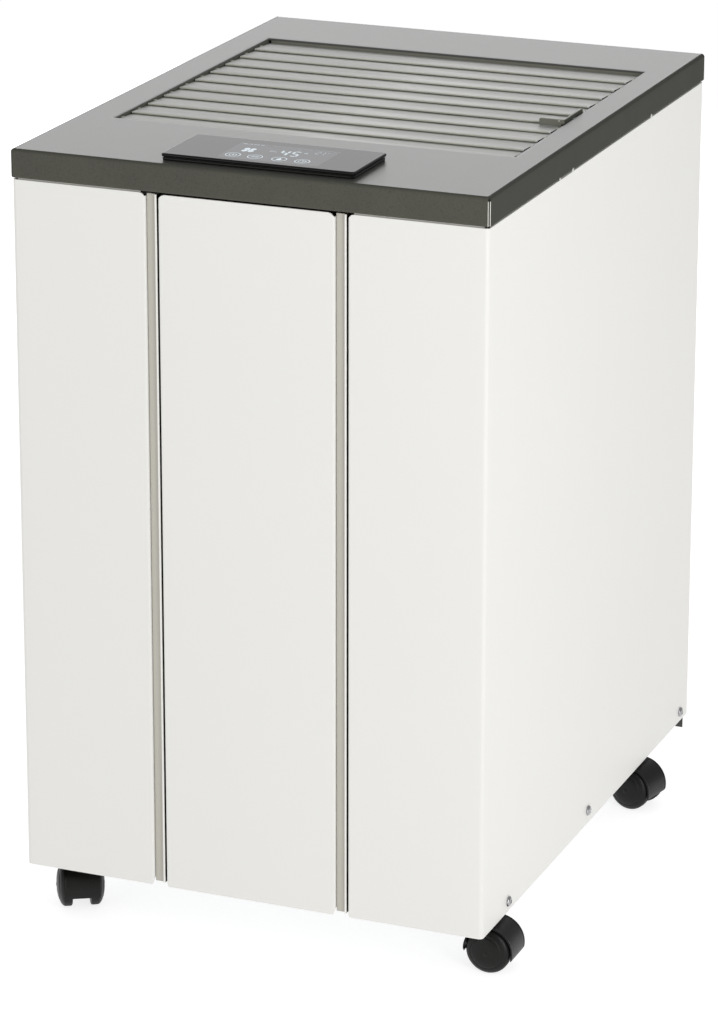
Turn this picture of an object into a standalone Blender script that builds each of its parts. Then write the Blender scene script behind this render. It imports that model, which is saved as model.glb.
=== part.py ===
"""Free-standing refrigerant dehumidifier on four twin-wheel swivel casters.

Frame: metres, +Z up, front of the appliance faces -Y, +X is its right-hand side
as seen from behind the control panel (right side of the picture from the front).
Origin: on the floor, in the middle of the footprint.

Bodies: a fixed cabinet, ten louvre blades with one link bar and lever in the air
outlet, a drawer (front cover + water tank), the tank's bail handle and float arm,
a pull-out filter cassette, the fan impeller, and four casters (fork + wheel pair).
"""
import bpy
import bmesh
import math
from mathutils import Vector, Matrix

MM = 0.001

# ------------------------------------------------------------------ dimensions (mm)
LID_W = 345.0            # lid, overall width (X)
LID_D = 456.0            # lid, overall depth (Y)
LID_TOP = 558.5          # top plane of the lid above the floor
LID_SKIRT = 20.0         # height of the folded skirt
LID_T = 1.5              # lid plate thickness
SKIRT_T = 1.4            # skirt thickness
LID_BEND = 2.4           # outer bend radius along the top edges
BODY_BOTTOM = 37.0       # lower edge of the cabinet above the floor
CASING_X = 171.9         # outer face of the side panels
CASING_Y = 227.4         # outer face of the front panels
CASING_T = 1.2
CASING_REAR = 226.0      # outer face of the rear flanges
CASING_TOP = 537.6       # shoulder under the lid skirt
CASING_LAP = 552.0       # top of the flange inside the lid
BEND_R = 3.2             # front corner bend radius

GROOVE_OUT = 73.2        # |x| of the outer panels' inner edge
COVER_X = 63.7           # |x| of the centre cover's edge
GROOVE_DEPTH = 2.2       # front plane to the trim strip in the groove
FOOT_DEPTH = 9.4         # front plane to the strip's mounting foot
RETURN_DEPTH = 9.0       # length of the panels' edge returns

OPEN_X0, OPEN_X1 = -146.0, 150.0     # louvre opening in the lid
OPEN_Y0, OPEN_Y1 = -120.0, 153.0
FRAME_WALL = 2.0
FRAME_TOP = 556.6
FRAME_BOT = 530.0

N_BLADES = 10
PIVOT_Y0 = -105.7        # pivot of the front blade
PITCH = 26.99
PIVOT_Z0 = 555.1
PIVOT_DZ = 0.0           # step in height from one blade to the next: the row is level
BLADE_X0, BLADE_X1 = -145.2, 146.4
CRANK_R = 10.0
PIN_R = 1.2

CAST_X = 151.0           # caster stem positions
CAST_YF, CAST_YR = -188.0, 126.0
CAST_E = 15.0            # stem to axle
WHEEL_R = 16.0
HOOD_RO, HOOD_RI = 18.2, 17.0
HOOD_W = 13.0            # half width of the hood

TANK_X, TANK_Y0, TANK_Y1 = 56.0, -213.6, 76.0
TANK_Z0, TANK_Z1 = 42.0, 196.0
HANDLE_Y, HANDLE_Z, HANDLE_L = -60.0, 189.0, 56.0
FLOAT_Y, FLOAT_Z = 64.0, 176.0

FAN_Z = 388.0
DECK_Z = 262.0

# ------------------------------------------------------------------ helpers
for ob in list(bpy.data.objects):
    bpy.data.objects.remove(ob, do_unlink=True)

ASSEMBLY = bpy.data.objects.new("dehumidifier", None)
bpy.context.scene.collection.objects.link(ASSEMBLY)


def material(name, rgb, rough, metal=0.0, alpha=1.0):
    m = bpy.data.materials.new(name)
    m.use_nodes = True
    p = m.node_tree.nodes["Principled BSDF"]
    p.inputs["Base Color"].default_value = (*rgb, 1.0)
    p.inputs["Roughness"].default_value = rough
    p.inputs["Metallic"].default_value = metal
    m.diffuse_color = (*rgb, alpha)
    return m


def finish(name, bm, rgb, rough, metal=0.0, origin=(0, 0, 0), smooth=None, guide=False):
    """Makes one object from a bmesh in millimetres. Its origin is put at `origin` (mm)."""
    bmesh.ops.remove_doubles(bm, verts=bm.verts, dist=1e-5)
    bmesh.ops.recalc_face_normals(bm, faces=bm.faces)
    o = Vector(origin)
    for v in bm.verts:
        v.co = (v.co - o) * MM
    me = bpy.data.meshes.new(name)
    bm.to_mesh(me)
    bm.free()
    ob = bpy.data.objects.new(name, me)
    bpy.context.scene.collection.objects.link(ob)
    ob.location = o * MM
    ob.parent = ASSEMBLY
    if guide:
        ob.hide_render = True
        ob.display_type = "WIRE"
    else:
        me.materials.append(material(name, rgb, rough, metal))
        if smooth:
            me.shade_smooth()
            me.set_sharp_from_angle(angle=math.radians(smooth))
    return ob


def cut(ob, cutter, op="DIFFERENCE"):
    m = ob.modifiers.new(cutter.name, "BOOLEAN")
    m.operation = op
    m.object = cutter
    m.solver = "EXACT"
    return m


def add_box(bm, x0, x1, y0, y1, z0, z1):
    v = [bm.verts.new((x, y, z)) for z in (z0, z1) for y in (y0, y1) for x in (x0, x1)]
    for f in ((0, 2, 3, 1), (4, 5, 7, 6), (0, 1, 5, 4), (2, 6, 7, 3), (0, 4, 6, 2), (1, 3, 7, 5)):
        bm.faces.new([v[i] for i in f])


def add_loft(bm, loops, closed=False):
    """Joins loops of equal length. Capped at both ends, or closed into a ring."""
    rows = [[bm.verts.new(p) for p in lp] for lp in loops]
    n = len(rows[0])
    pairs = list(zip(rows, rows[1:])) + ([(rows[-1], rows[0])] if closed else [])
    for a, b in pairs:
        for i in range(n):
            j = (i + 1) % n
            bm.faces.new((a[i], a[j], b[j], b[i]))
    if not closed:
        bm.faces.new(rows[0][::-1])
        bm.faces.new(rows[-1])


def add_prism(bm, poly, axis, lo, hi):
    """Extrudes a simple 2D outline. Axis X takes (y, z), Y takes (x, z), Z takes (x, y)."""
    def at(p, t):
        return {"X": (t, p[0], p[1]), "Y": (p[0], t, p[1]), "Z": (p[0], p[1], t)}[axis]
    add_loft(bm, [[at(p, lo) for p in poly], [at(p, hi) for p in poly]])


def arc(cx, cy, r, a0, a1, n):
    return [(cx + r * math.cos(math.radians(a0 + (a1 - a0) * i / n)),
             cy + r * math.sin(math.radians(a0 + (a1 - a0) * i / n))) for i in range(n + 1)]


def add_lathe(bm, profile, segs, mtx, phase=0.0):
    """Turns (radius, height) points about Z, then places the result with mtx. Radius 0 makes a pole."""
    rows = []
    for r, h in profile:
        if r < 1e-6:
            rows.append([bm.verts.new(mtx @ Vector((0, 0, h)))])
        else:
            rows.append([bm.verts.new(mtx @ Vector((
                r * math.cos(2 * math.pi * (i + phase) / segs),
                r * math.sin(2 * math.pi * (i + phase) / segs), h))) for i in range(segs)])
    for a, b in zip(rows, rows[1:]):
        for i in range(segs):
            j = (i + 1) % segs
            if len(a) == 1 and len(b) == 1:
                continue
            if len(a) == 1:
                bm.faces.new((a[0], b[j], b[i]))
            elif len(b) == 1:
                bm.faces.new((a[i], a[j], b[0]))
            else:
                bm.faces.new((a[i], a[j], b[j], b[i]))


def add_ring_lathe(bm, profile, segs, mtx, phase=0.0):
    """Turns a closed (radius, height) outline that never reaches the axis."""
    rows = [[bm.verts.new(mtx @ Vector((
        r * math.cos(2 * math.pi * (i + phase) / segs),
        r * math.sin(2 * math.pi * (i + phase) / segs), h))) for i in range(segs)] for r, h in profile]
    for a, b in zip(rows, rows[1:] + rows[:1]):
        for i in range(segs):
            j = (i + 1) % segs
            bm.faces.new((a[i], a[j], b[j], b[i]))


def offset_path(pts, d):
    """Moves an open path to its left by d, with mitred corners."""
    out = []
    for i, p in enumerate(pts):
        p = Vector(p)
        dirs = []
        if i > 0:
            dirs.append((p - Vector(pts[i - 1])).normalized())
        if i < len(pts) - 1:
            dirs.append((Vector(pts[i + 1]) - p).normalized())
        normals = [Vector((-t.y, t.x)) for t in dirs]
        if len(normals) == 1:
            out.append(p + normals[0] * d)
        else:
            m = (normals[0] + normals[1]).normalized()
            out.append(p + m * (d / max(m.dot(normals[0]), 0.2)))
    return [(q.x, q.y) for q in out]


def sheet_outline(pts, t):
    return list(pts) + offset_path(pts, t)[::-1]


def rotz(a):
    return Matrix.Rotation(math.radians(a), 4, "Z")


def place(x, y, z, m=None):
    return Matrix.Translation((x, y, z)) @ (m if m is not None else Matrix.Identity(4))


AX_X = Matrix.Rotation(math.radians(90), 4, "Y")      # lathe axis Z -> +X
AX_Y = Matrix.Rotation(math.radians(-90), 4, "X")     # lathe axis Z -> +Y

WHITE = (0.80, 0.79, 0.765)
LID_GREY = (0.19, 0.19, 0.18)
DARK = (0.09, 0.09, 0.082)
ALU = (0.50, 0.50, 0.49)
BLACK = (0.018, 0.018, 0.017)
STEEL = (0.45, 0.45, 0.44)


# ------------------------------------------------------------------ cabinet panels
def casing(name, side):
    """L-shaped outer panel: edge return in the groove, front face, bend, side face, rear flange."""
    x1, yf = CASING_X, -CASING_Y
    r1 = 2.0
    path = [(GROOVE_OUT, yf + RETURN_DEPTH)]
    path += arc(GROOVE_OUT + r1, yf + r1, r1, 180, 270, 2)
    path += arc(x1 - BEND_R, yf + BEND_R, BEND_R, 270, 360, 4)
    path += arc(x1 - 2.2, CASING_REAR - 2.2, 2.2, 0, 90, 2)
    path += [(x1 - 14.0, CASING_REAR)]
    levels = [(0.0, BODY_BOTTOM, CASING_T, BODY_BOTTOM),
              (0.0, CASING_TOP, CASING_T, CASING_TOP - 1.2),
              (1.2, CASING_TOP, 1.8, CASING_TOP - 0.6),
              (1.2, CASING_LAP, 1.8, CASING_LAP)]
    loops = []
    for oo, zo, io, zi in levels:
        outer = [(x, y, zo) for x, y in offset_path(path, oo)]
        inner = [(x, y, zi) for x, y in offset_path(path, io)][::-1]
        loops.append([(side * x, y, z) for x, y, z in outer + inner])
    bm = bmesh.new()
    add_loft(bm, loops)
    return finish(name, bm, WHITE, 0.42, smooth=30)


casing("right_casing", 1)
casing("left_casing", -1)


def post(name, x_foot, x_wall, x_lip):
    """Folded trim strip in a groove: a foot behind the panel on its left, a step forward beside that panel's
    edge, the strip itself just behind the front plane, and a lip on the right that stands nearly flush."""
    ys, yf, t = -CASING_Y + GROOVE_DEPTH, -CASING_Y + FOOT_DEPTH, 1.2
    outline = [(x_foot, yf), (x_wall, yf), (x_wall, ys), (x_lip - 1.5, ys), (x_lip - 1.5, -CASING_Y + 0.3),
               (x_lip, -CASING_Y + 0.3), (x_lip, yf + t), (x_lip - t, yf + t), (x_lip - t, ys + t),
               (x_wall + t, ys + t), (x_wall + t, yf + t), (x_foot, yf + t)]
    bm = bmesh.new()
    add_prism(bm, outline, "Z", BODY_BOTTOM + 2.6, CASING_TOP - 0.8)
    return finish(name, bm, WHITE, 0.45)


post("front_post_left", -88.0, -GROOVE_OUT + 0.35, -COVER_X - 1.3)
post("front_post_right", COVER_X - 1.0, COVER_X + 0.35, GROOVE_OUT - 1.3)

# lid: one folded plate with the outlet opening
bm = bmesh.new()


def rect(x0, x1, y0, y1, z):
    return [(x0, y0, z), (x1, y0, z), (x1, y1, z), (x0, y1, z)]


hx, hy = LID_W / 2, LID_D / 2
zb = LID_TOP - LID_SKIRT
loops = [rect(-hx, hx, -hy, hy, zb)]
for i in range(5):
    a = math.radians(90 * i / 4)
    ins = LID_BEND * (1 - math.cos(a))
    loops.append(rect(-hx + ins, hx - ins, -hy + ins, hy - ins, LID_TOP - LID_BEND + LID_BEND * math.sin(a)))
loops.append(rect(OPEN_X0, OPEN_X1, OPEN_Y0, OPEN_Y1, LID_TOP))
loops.append(rect(OPEN_X0, OPEN_X1, OPEN_Y0, OPEN_Y1, LID_TOP - LID_T))
ix, iy = hx - SKIRT_T, hy - SKIRT_T
loops.append(rect(-ix + 1.0, ix - 1.0, -iy + 1.0, iy - 1.0, LID_TOP - LID_T))
loops.append(rect(-ix, ix, -iy, iy, LID_TOP - LID_T - 1.0))
loops.append(rect(-ix, ix, -iy, iy, zb))
add_loft(bm, loops, closed=True)
finish("top_lid", bm, LID_GREY, 0.38, 0.6, smooth=40)

# outlet frame under the lid, with open-topped bearing slots for the blade pins
bm = bmesh.new()
g = 0.3
fi = (OPEN_X0 - g, OPEN_X1 + g, OPEN_Y0 - g, OPEN_Y1 + g)
fo = (fi[0] - FRAME_WALL, fi[1] + FRAME_WALL, fi[2] - FRAME_WALL, fi[3] + FRAME_WALL)
add_loft(bm, [rect(*fo, FRAME_BOT), rect(*fo, FRAME_TOP), rect(*fi, FRAME_TOP), rect(*fi, FRAME_BOT)], closed=True)
frame_ob = finish("louvre_frame", bm, DARK, 0.5)
bm = bmesh.new()
for i in range(N_BLADES):
    py, pz = PIVOT_Y0 + PITCH * i, PIVOT_Z0 + PIVOT_DZ * i
    for xa, xb in ((fo[0] - 5, fi[0] + 5), (fi[1] - 5, fo[1] + 5)):
        add_box(bm, xa, xb, py - PIN_R - 0.35, py + PIN_R + 0.35, pz - PIN_R - 0.35, FRAME_TOP + 4)
slots = finish("cut_bearing_slots", bm, DARK, 0.5, guide=True)
cut(frame_ob, slots)


# ------------------------------------------------------------------ louvre blades
def blade_outline():
    """Section of a blade about its pivot (y, z): hemmed front edge up, rear edge down under the next blade."""
    zf, slope = 1.6, -0.06
    top = [(-13.9, zf), (15.6, zf + slope * 29.5)]
    return [(-13.9, 0.33), (-12.7, 0.33), (-12.7, zf - 1.2 + slope * 1.2), (15.6, top[1][1] - 1.2), top[1], top[0]]


for i in range(N_BLADES):
    py, pz = PIVOT_Y0 + PITCH * i, PIVOT_Z0 + PIVOT_DZ * i
    name = "louvre_blade_%02d" % (i + 1)
    bm = bmesh.new()
    add_prism(bm, [(py + a, pz + b) for a, b in blade_outline()], "X", BLADE_X0, BLADE_X1)
    ob = finish(name, bm, ALU, 0.32, 0.9, origin=(0, py, pz))
    # pivot pins, end hubs and the crank with its pin, joined to the blade
    parts = []
    for tag, xa, xb, r, cz in (("pin_l", BLADE_X0 - 2.6, BLADE_X0 + 6, PIN_R, 0.0),
                               ("pin_r", BLADE_X1 - 6, BLADE_X1 + 5.5, PIN_R, 0.0),
                               ("crank_pin", BLADE_X1 - 1.5, BLADE_X1 + 3.1, 1.1, -CRANK_R)):
        bm = bmesh.new()
        add_lathe(bm, [(0, xa), (r, xa), (r, xb), (0, xb)], 8, place(0, py, pz + cz, AX_X), 0.5)
        parts.append(finish("tool_%s_%02d" % (tag, i + 1), bm, ALU, 0.3, guide=True, origin=(0, py, pz)))
    bm = bmesh.new()
    add_prism(bm, [(py - 2.6, pz - CRANK_R), (py - 1.4, pz - CRANK_R - 2.2), (py + 1.4, pz - CRANK_R - 2.2),
                   (py + 2.6, pz - CRANK_R), (py + 3.2, pz - 0.9), (py - 3.2, pz - 0.1)], "X", BLADE_X1 - 2.2, BLADE_X1 - 0.2)
    parts.append(finish("tool_crank_%02d" % (i + 1), bm, ALU, 0.3, guide=True, origin=(0, py, pz)))
    for p in parts:
        cut(ob, p, "UNION")

# link bar: joins all the cranks and carries the lever fin with its finger tab
LEVER_K = 3
yk, zk = PIVOT_Y0 + PITCH * LEVER_K, PIVOT_Z0 + PIVOT_DZ * LEVER_K
bx0, bx1 = BLADE_X1 + 0.8, BLADE_X1 + 2.4
ya, yb = PIVOT_Y0 - 5.0, PIVOT_Y0 + PITCH * (N_BLADES - 1) + 5.0


def bar_z(y):
    return PIVOT_Z0 - CRANK_R + PIVOT_DZ * (y - PIVOT_Y0) / PITCH


n0, n1 = yk + 15.0, yk + 23.0                 # neck of the lever, between two pivot pins
f0, f1 = yk + 7.6, yk + 46.0                  # fin above the blades
ft, fb = zk + 5.5, zk + 2.2
outline = [(ya, bar_z(ya) - 2.0), (yb, bar_z(yb) - 2.0), (yb, bar_z(yb) + 2.0),
           (n1, bar_z(n1) + 2.0), (n1, fb), (f1, fb), (f1, ft - 1.6), (f1 - 2.0, ft), (f0, ft), (f0, fb),
           (n0, fb), (n0, bar_z(n0) + 2.0), (ya, bar_z(ya) + 2.0)]
bm = bmesh.new()
add_prism(bm, outline, "X", bx0, bx1)
bar = finish("louvre_link_bar", bm, BLACK, 0.4, origin=(0, yk, zk - CRANK_R))
bm = bmesh.new()
add_prism(bm, [(bx1 - 0.01, zk + 0.5 + 2.0), (bx1 - 0.01, ft), (bx0 - 15.6, ft), (bx0 - 17.0, ft - 1.2),
               (bx0 - 17.0, zk + 0.5), (bx0 - 1.0, zk + 0.5), (bx0 - 0.6, zk + 2.5)],
          "Y", f0, yk + 12.6)
tab = finish("tool_lever_tab", bm, BLACK, 0.4, guide=True, origin=(0, yk, zk - CRANK_R))
cut(bar, tab, "UNION")
bm = bmesh.new()
for i in range(N_BLADES):
    py, pz = PIVOT_Y0 + PITCH * i, PIVOT_Z0 + PIVOT_DZ * i - CRANK_R
    add_lathe(bm, [(0, bx0 - 2), (1.5, bx0 - 2), (1.5, bx1 + 2), (0, bx1 + 2)], 8, place(0, py, pz, AX_X), 0.5)
holes = finish("cut_link_holes", bm, BLACK, 0.4, guide=True)
cut(bar, holes)

# ------------------------------------------------------------------ control panel on the lid
DX0, DX1, DY0, DY1 = -65.5, 74.0, -218.5, -159.5


def rrect(x0, x1, y0, y1, r, z, n=2):
    p = []
    for cx, cy, a in ((x1 - r, y0 + r, 270), (x1 - r, y1 - r, 0), (x0 + r, y1 - r, 90), (x0 + r, y0 + r, 180)):
        p += [(x, y, z) for x, y in arc(cx, cy, r, a, a + 90, n)]
    return p


bm = bmesh.new()
add_loft(bm, [rrect(DX0 + 0.7, DX1 - 0.7, DY0 + 0.7, DY1 - 0.7, 1.6, LID_TOP + 0.3),
              rrect(DX0 + 0.5, DX1 - 0.5, DY0 + 0.5, DY1 - 0.5, 1.6, LID_TOP + 2.4)])
finish("display_housing", bm, (0.05, 0.05, 0.047), 0.35)
bm = bmesh.new()
z0, z1 = LID_TOP + 2.7, LID_TOP + 5.0
add_loft(bm, [rrect(DX0 + 0.5, DX1 - 0.5, DY0 + 0.5, DY1 - 0.5, 2.0, z0),
              rrect(DX0, DX1, DY0, DY1, 2.2, z0 + 0.6),
              rrect(DX0, DX1, DY0, DY1, 2.2, z1 - 1.0),
              rrect(DX0 + 0.5, DX1 - 0.5, DY0 + 0.5, DY1 - 0.5, 2.0, z1 - 0.3),
              rrect(DX0 + 1.3, DX1 - 1.3, DY0 + 1.3, DY1 - 1.3, 1.6, z1)])
finish("display_glass", bm, (0.02, 0.02, 0.022), 0.05)

# electronics under the control panel
bm = bmesh.new()
bt = 545.6
add_prism(bm, [(-60, bt), (60, bt), (60, bt + 1.6), (46, bt + 1.6), (46, bt + 7.5), (22, bt + 7.5), (22, bt + 1.6),
               (6, bt + 1.6), (6, bt + 4.6), (-20, bt + 4.6), (-20, bt + 1.6), (-36, bt + 1.6), (-36, bt + 6.2),
               (-52, bt + 6.2), (-52, bt + 1.6), (-60, bt + 1.6)], "Y", -208, -140)
finish("control_board", bm, (0.02, 0.10, 0.05), 0.5)

# ------------------------------------------------------------------ back panel
BPX = 168.0
bm = bmesh.new()
add_box(bm, -BPX, BPX, CASING_REAR + 0.3, CASING_REAR + 1.5, 24.0, 538.0)
back = finish("back_panel", bm, DARK, 0.45)
bm = bmesh.new()
YB0, YB1 = CASING_REAR - 8, CASING_REAR + 8
add_box(bm, -128, 128, YB0, YB1, 268, 512)                          # filter opening
add_box(bm, -134.4, -105.6, YB0, YB1, 62.6, 85.4)                   # mains inlet
for k in range(7):
    add_box(bm, -58, 58, YB0, YB1, 96 + 15 * k, 101 + 15 * k)       # compressor vents
add_lathe(bm, [(0, YB0), (9.4, YB0), (9.4, YB1), (0, YB1)], 16, place(104, 0, 118, AX_Y))
cut(back, finish("cut_back_openings", bm, DARK, 0.5, guide=True))

# pull-out filter cassette with intake slats
bm = bmesh.new()
add_box(bm, -127.4, 127.4, 219.6, 227.8, 268.6, 511.4)
cas = finish("filter_cassette", bm, DARK, 0.5)
bm = bmesh.new()
for k in range(15):
    z = 281 + 15.2 * k
    for xa, xb in ((-117, -3), (3, 117)):
        add_box(bm, xa, xb, 210, 240, z, z + 9.6)
cut(cas, finish("cut_cassette_slots", bm, DARK, 0.5, guide=True))

# mains inlet: open box socket
bm = bmesh.new()
px, pz = -120.0, 74.0


def ring_y(hw, hh, y):
    return [(px - hw, y, pz - hh), (px + hw, y, pz - hh), (px + hw, y, pz + hh), (px - hw, y, pz + hh)]


add_loft(bm, [ring_y(14.0, 11.0, 206), ring_y(14.0, 11.0, 227.8), ring_y(11.6, 8.6, 227.8), ring_y(11.6, 8.6, 210)])
finish("power_inlet", bm, BLACK, 0.45)

# drain spigot: stepped tube in the back panel's round hole
bm = bmesh.new()
add_lathe(bm, [(0, 196), (12, 196), (12, 203), (9.0, 203), (9.0, 227.8), (6.6, 227.8), (6.6, 200), (0, 200)],
          16, place(104, 0, 118, AX_Y))
finish("drain_spigot", bm, BLACK, 0.45, smooth=40)

# ------------------------------------------------------------------ chassis
bm = bmesh.new()
add_box(bm, -170.2, 170.2, -215.5, 224.2, 38.0, 39.6)
pan = finish("base_pan", bm, STEEL, 0.45, 0.8)
bm = bmesh.new()
CASTERS = (("front_right", 1, CAST_YF, 0.0), ("front_left", -1, CAST_YF, -60.0),
           ("rear_right", 1, CAST_YR, -12.2), ("rear_left", -1, CAST_YR, 192.2))
for tag, sx, cy, ang in CASTERS:
    add_lathe(bm, [(0, 30), (4.5, 30), (4.5, 50), (0, 50)], 12, place(sx * CAST_X, cy, 0))
cut(pan, finish("cut_stem_holes", bm, STEEL, 0.5, guide=True))

for tag, s in (("left", -1), ("right", 1)):
    bm = bmesh.new()
    pts = [(170.3, 39.9), (170.3, 56.0), (168.9, 56.0), (168.9, 41.3), (158.5, 41.3), (158.5, 39.9)]
    add_prism(bm, [(s * x, z) for x, z in pts], "Y", -210.0, 220.0)
    finish("chassis_rail_" + tag, bm, STEEL, 0.45, 0.8)
    bm = bmesh.new()
    add_box(bm, min(s * 60.4, s * 61.6), max(s * 60.4, s * 61.6), -212.0, 84.0, 39.9, DECK_Z - 0.4)
    finish("tank_bay_wall_" + tag, bm, STEEL, 0.45, 0.8)

bm = bmesh.new()
add_box(bm, -169.6, 169.6, -215.0, 216.0, DECK_Z, DECK_Z + 1.5)
deck = finish("mid_deck", bm, STEEL, 0.45, 0.8)
bm = bmesh.new()
add_box(bm, 128, 156, 150, 196, DECK_Z - 5, DECK_Z + 5)
add_box(bm, -156, -128, 110, 156, DECK_Z - 5, DECK_Z + 5)
cut(deck, finish("cut_deck_openings", bm, STEEL, 0.5, guide=True))


# ------------------------------------------------------------------ casters
def caster(tag, sx, cy, ang):
    """Stem and flange (fixed), hood with web and boss (swivels), wheel pair on its axle (rolls)."""
    base = place(sx * CAST_X, cy, 0.0, rotz(ang))       # local +X is the trail direction
    org = (sx * CAST_X, cy, 0.0)
    bm = bmesh.new()
    add_lathe(bm, [(0, 27.0), (3.6, 27.0), (3.6, 35.9), (10.5, 35.9), (10.5, 37.7), (4.1, 37.7), (4.1, 49.0), (0, 49.0)],
              12, place(sx * CAST_X, cy, 0))
    finish("caster_stem_" + tag, bm, STEEL, 0.35, 0.9, origin=(sx * CAST_X, cy, 38.0))

    # hood shell: a wrapped strip around the wheels, open in front of and below the axle
    zc = WHEEL_R
    outline = arc(CAST_E, zc, HOOD_RO, -16, 186, 14) + arc(CAST_E, zc, HOOD_RI, 186, -16, 14)
    bm = bmesh.new()
    add_loft(bm, [[base @ Vector((u, w, z)) for u, z in outline] for w in (-HOOD_W, HOOD_W)])
    hood = finish("caster_hood_" + tag, bm, BLACK, 0.42, origin=org, smooth=35)
    # centre web from the shell down to the axle
    bm = bmesh.new()
    web = arc(CAST_E, zc, HOOD_RI + 0.5, 0, 180, 10) + [(CAST_E - 5.0, zc - 4.5), (CAST_E + 5.0, zc - 4.5)]
    add_loft(bm, [[base @ Vector((u, w, z)) for u, z in web] for w in (-3.6, 3.6)])
    cut(hood, finish("tool_web_" + tag, bm, BLACK, 0.4, guide=True, origin=org), "UNION")
    # swivel boss around the stem
    bm = bmesh.new()
    add_lathe(bm, [(0, 23.0), (5.2, 23.0), (5.8, 24.0), (5.8, 35.5), (0, 35.5)], 14, base)
    cut(hood, finish("tool_boss_" + tag, bm, BLACK, 0.4, guide=True, origin=org), "UNION")
    bm = bmesh.new()
    add_lathe(bm, [(0, 26.4), (4.0, 26.4), (4.0, 50), (0, 50)], 12, base)
    cut(hood, finish("cut_bore_" + tag, bm, BLACK, 0.4, guide=True, origin=org))
    bm = bmesh.new()
    axle = base @ Matrix.Translation((CAST_E, 0, zc)) @ AX_Y
    add_lathe(bm, [(0, -9), (2.2, -9), (2.2, 9), (0, 9)], 10, axle)
    cut(hood, finish("cut_axle_" + tag, bm, BLACK, 0.4, guide=True, origin=org))

    # wheel pair: two domed wheels on one axle; a flat of the tread rests on the floor
    k = 1.0 / math.cos(math.pi / 24)
    half = [(0, 17.4), (6.0, 17.2), (11.0, 16.2), (14.2, 14.6), (15.6, 13.4), (WHEEL_R, 12.0), (WHEEL_R, 7.2),
            (15.2, 6.4), (5.0, 6.4), (1.7, 5.6)]
    prof = [(r * k, h) for r, h in half] + [(r * k, -h) for r, h in half[::-1]]
    bm = bmesh.new()
    add_lathe(bm, prof, 24, axle, phase=0.5)
    finish("caster_wheels_" + tag, bm, BLACK, 0.5,
           origin=tuple((base @ Vector((CAST_E, 0, zc)))[:]), smooth=35)


for c in CASTERS:
    caster(*c)

# ------------------------------------------------------------------ drawer: centre cover + tank
cz0, cz1 = BODY_BOTTOM, CASING_TOP
yf = -CASING_Y
path = [(-COVER_X, yf + RETURN_DEPTH - 0.4)] + arc(-COVER_X + 2.0, yf + 2.0, 2.0, 180, 270, 2) \
    + arc(COVER_X - 2.0, yf + 2.0, 2.0, 270, 360, 2) + [(COVER_X, yf + RETURN_DEPTH - 0.4)]
bm = bmesh.new()
add_prism(bm, sheet_outline(path, CASING_T), "Z", cz0, cz1)
finish("front_cover", bm, WHITE, 0.42, smooth=30)

bm = bmesh.new()
add_prism(bm, [(-225.9, 150.0), (-213.9, 150.0), (-213.9, 190.0), (-215.4, 190.0), (-215.4, 151.5),
               (-224.4, 151.5), (-224.4, 190.0), (-225.9, 190.0)], "X", -40, 40)
finish("cover_bracket", bm, STEEL, 0.4, 0.8)

bm = bmesh.new()


def trect(d, z, r):
    return rrect(-TANK_X + d, TANK_X - d, TANK_Y0 + d, TANK_Y1 - d, r, z, 3)


add_loft(bm, [trect(3.0, TANK_Z0, 5.0), trect(0.0, TANK_Z0 + 3.0, 8.0), trect(0.0, TANK_Z1, 8.0),
              trect(2.0, TANK_Z1, 6.0), trect(2.0, TANK_Z0 + 5.0, 6.0), trect(4.2, TANK_Z0 + 2.6, 4.0)])
finish("water_tank", bm, (0.55, 0.58, 0.60), 0.25, smooth=35)

# bail handle folded flat inside the rim
hxo, hxi = 53.6, 49.0
y0, y1 = HANDLE_Y, HANDLE_Y - HANDLE_L
outline = [(-hxo, y0 + 4), (-hxi, y0 + 4), (-hxi, y1 + 5), (hxi, y1 + 5), (hxi, y0 + 4), (hxo, y0 + 4),
           (hxo, y1 - 3), (hxo - 3, y1 - 6), (-hxo + 3, y1 - 6), (-hxo, y1 - 3)]
bm = bmesh.new()
add_prism(bm, outline, "Z", HANDLE_Z - 2.5, HANDLE_Z + 2.5)
finish("tank_handle", bm, (0.25, 0.26, 0.27), 0.4, origin=(0, HANDLE_Y, HANDLE_Z))

# float on its arm
bm = bmesh.new()
fy, fz = FLOAT_Y, FLOAT_Z
add_prism(bm, [(fy + 4, fz + 4), (fy - 20, fz + 4), (fy - 34, fz - 6), (fy - 80, fz - 6), (fy - 80, fz - 34),
               (fy - 34, fz - 34), (fy - 34, fz - 11), (fy - 18, fz - 2), (fy + 4, fz - 2)], "X", -18, 18)
finish("float_arm", bm, (0.75, 0.30, 0.06), 0.5, origin=(0, fy, fz))


# ------------------------------------------------------------------ refrigeration and air path
def comb(x0, x1, y_plain, y_tip, depth, teeth, duty=0.25):
    """Outline of a fin pack: a thin back plate with deep vertical fins."""
    step = (x1 - x0) / teeth
    s = 1 if y_tip > y_plain else -1
    pts = [(x0, y_plain)]
    for k in range(teeth):
        a = x0 + step * k
        pts += [(a, y_tip), (a + step * duty, y_tip), (a + step * duty, y_tip - s * depth)]
        if k < teeth - 1:
            pts += [(a + step, y_tip - s * depth)]
    pts += [(x1, y_tip - s * depth), (x1, y_plain)]
    return pts


bm = bmesh.new()
add_prism(bm, comb(-118, 118, 166, 196, 27, 26), "Z", 268.4, 492)
finish("evaporator_coil", bm, ALU, 0.35, 0.9)
bm = bmesh.new()
add_prism(bm, comb(-118, 118, 156, 124, 29, 16), "Z", 268.4, 492)
finish("condenser_coil", bm, ALU, 0.35, 0.9)

bm = bmesh.new()


def drect(d, z):
    return rect(-123 + d, 123 - d, 117 + d, 204 - d, z)


add_loft(bm, [drect(0, 263.8), drect(0, 284), drect(2, 284), drect(2, 266)])
finish("drip_tray", bm, (0.55, 0.56, 0.56), 0.5)

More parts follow.
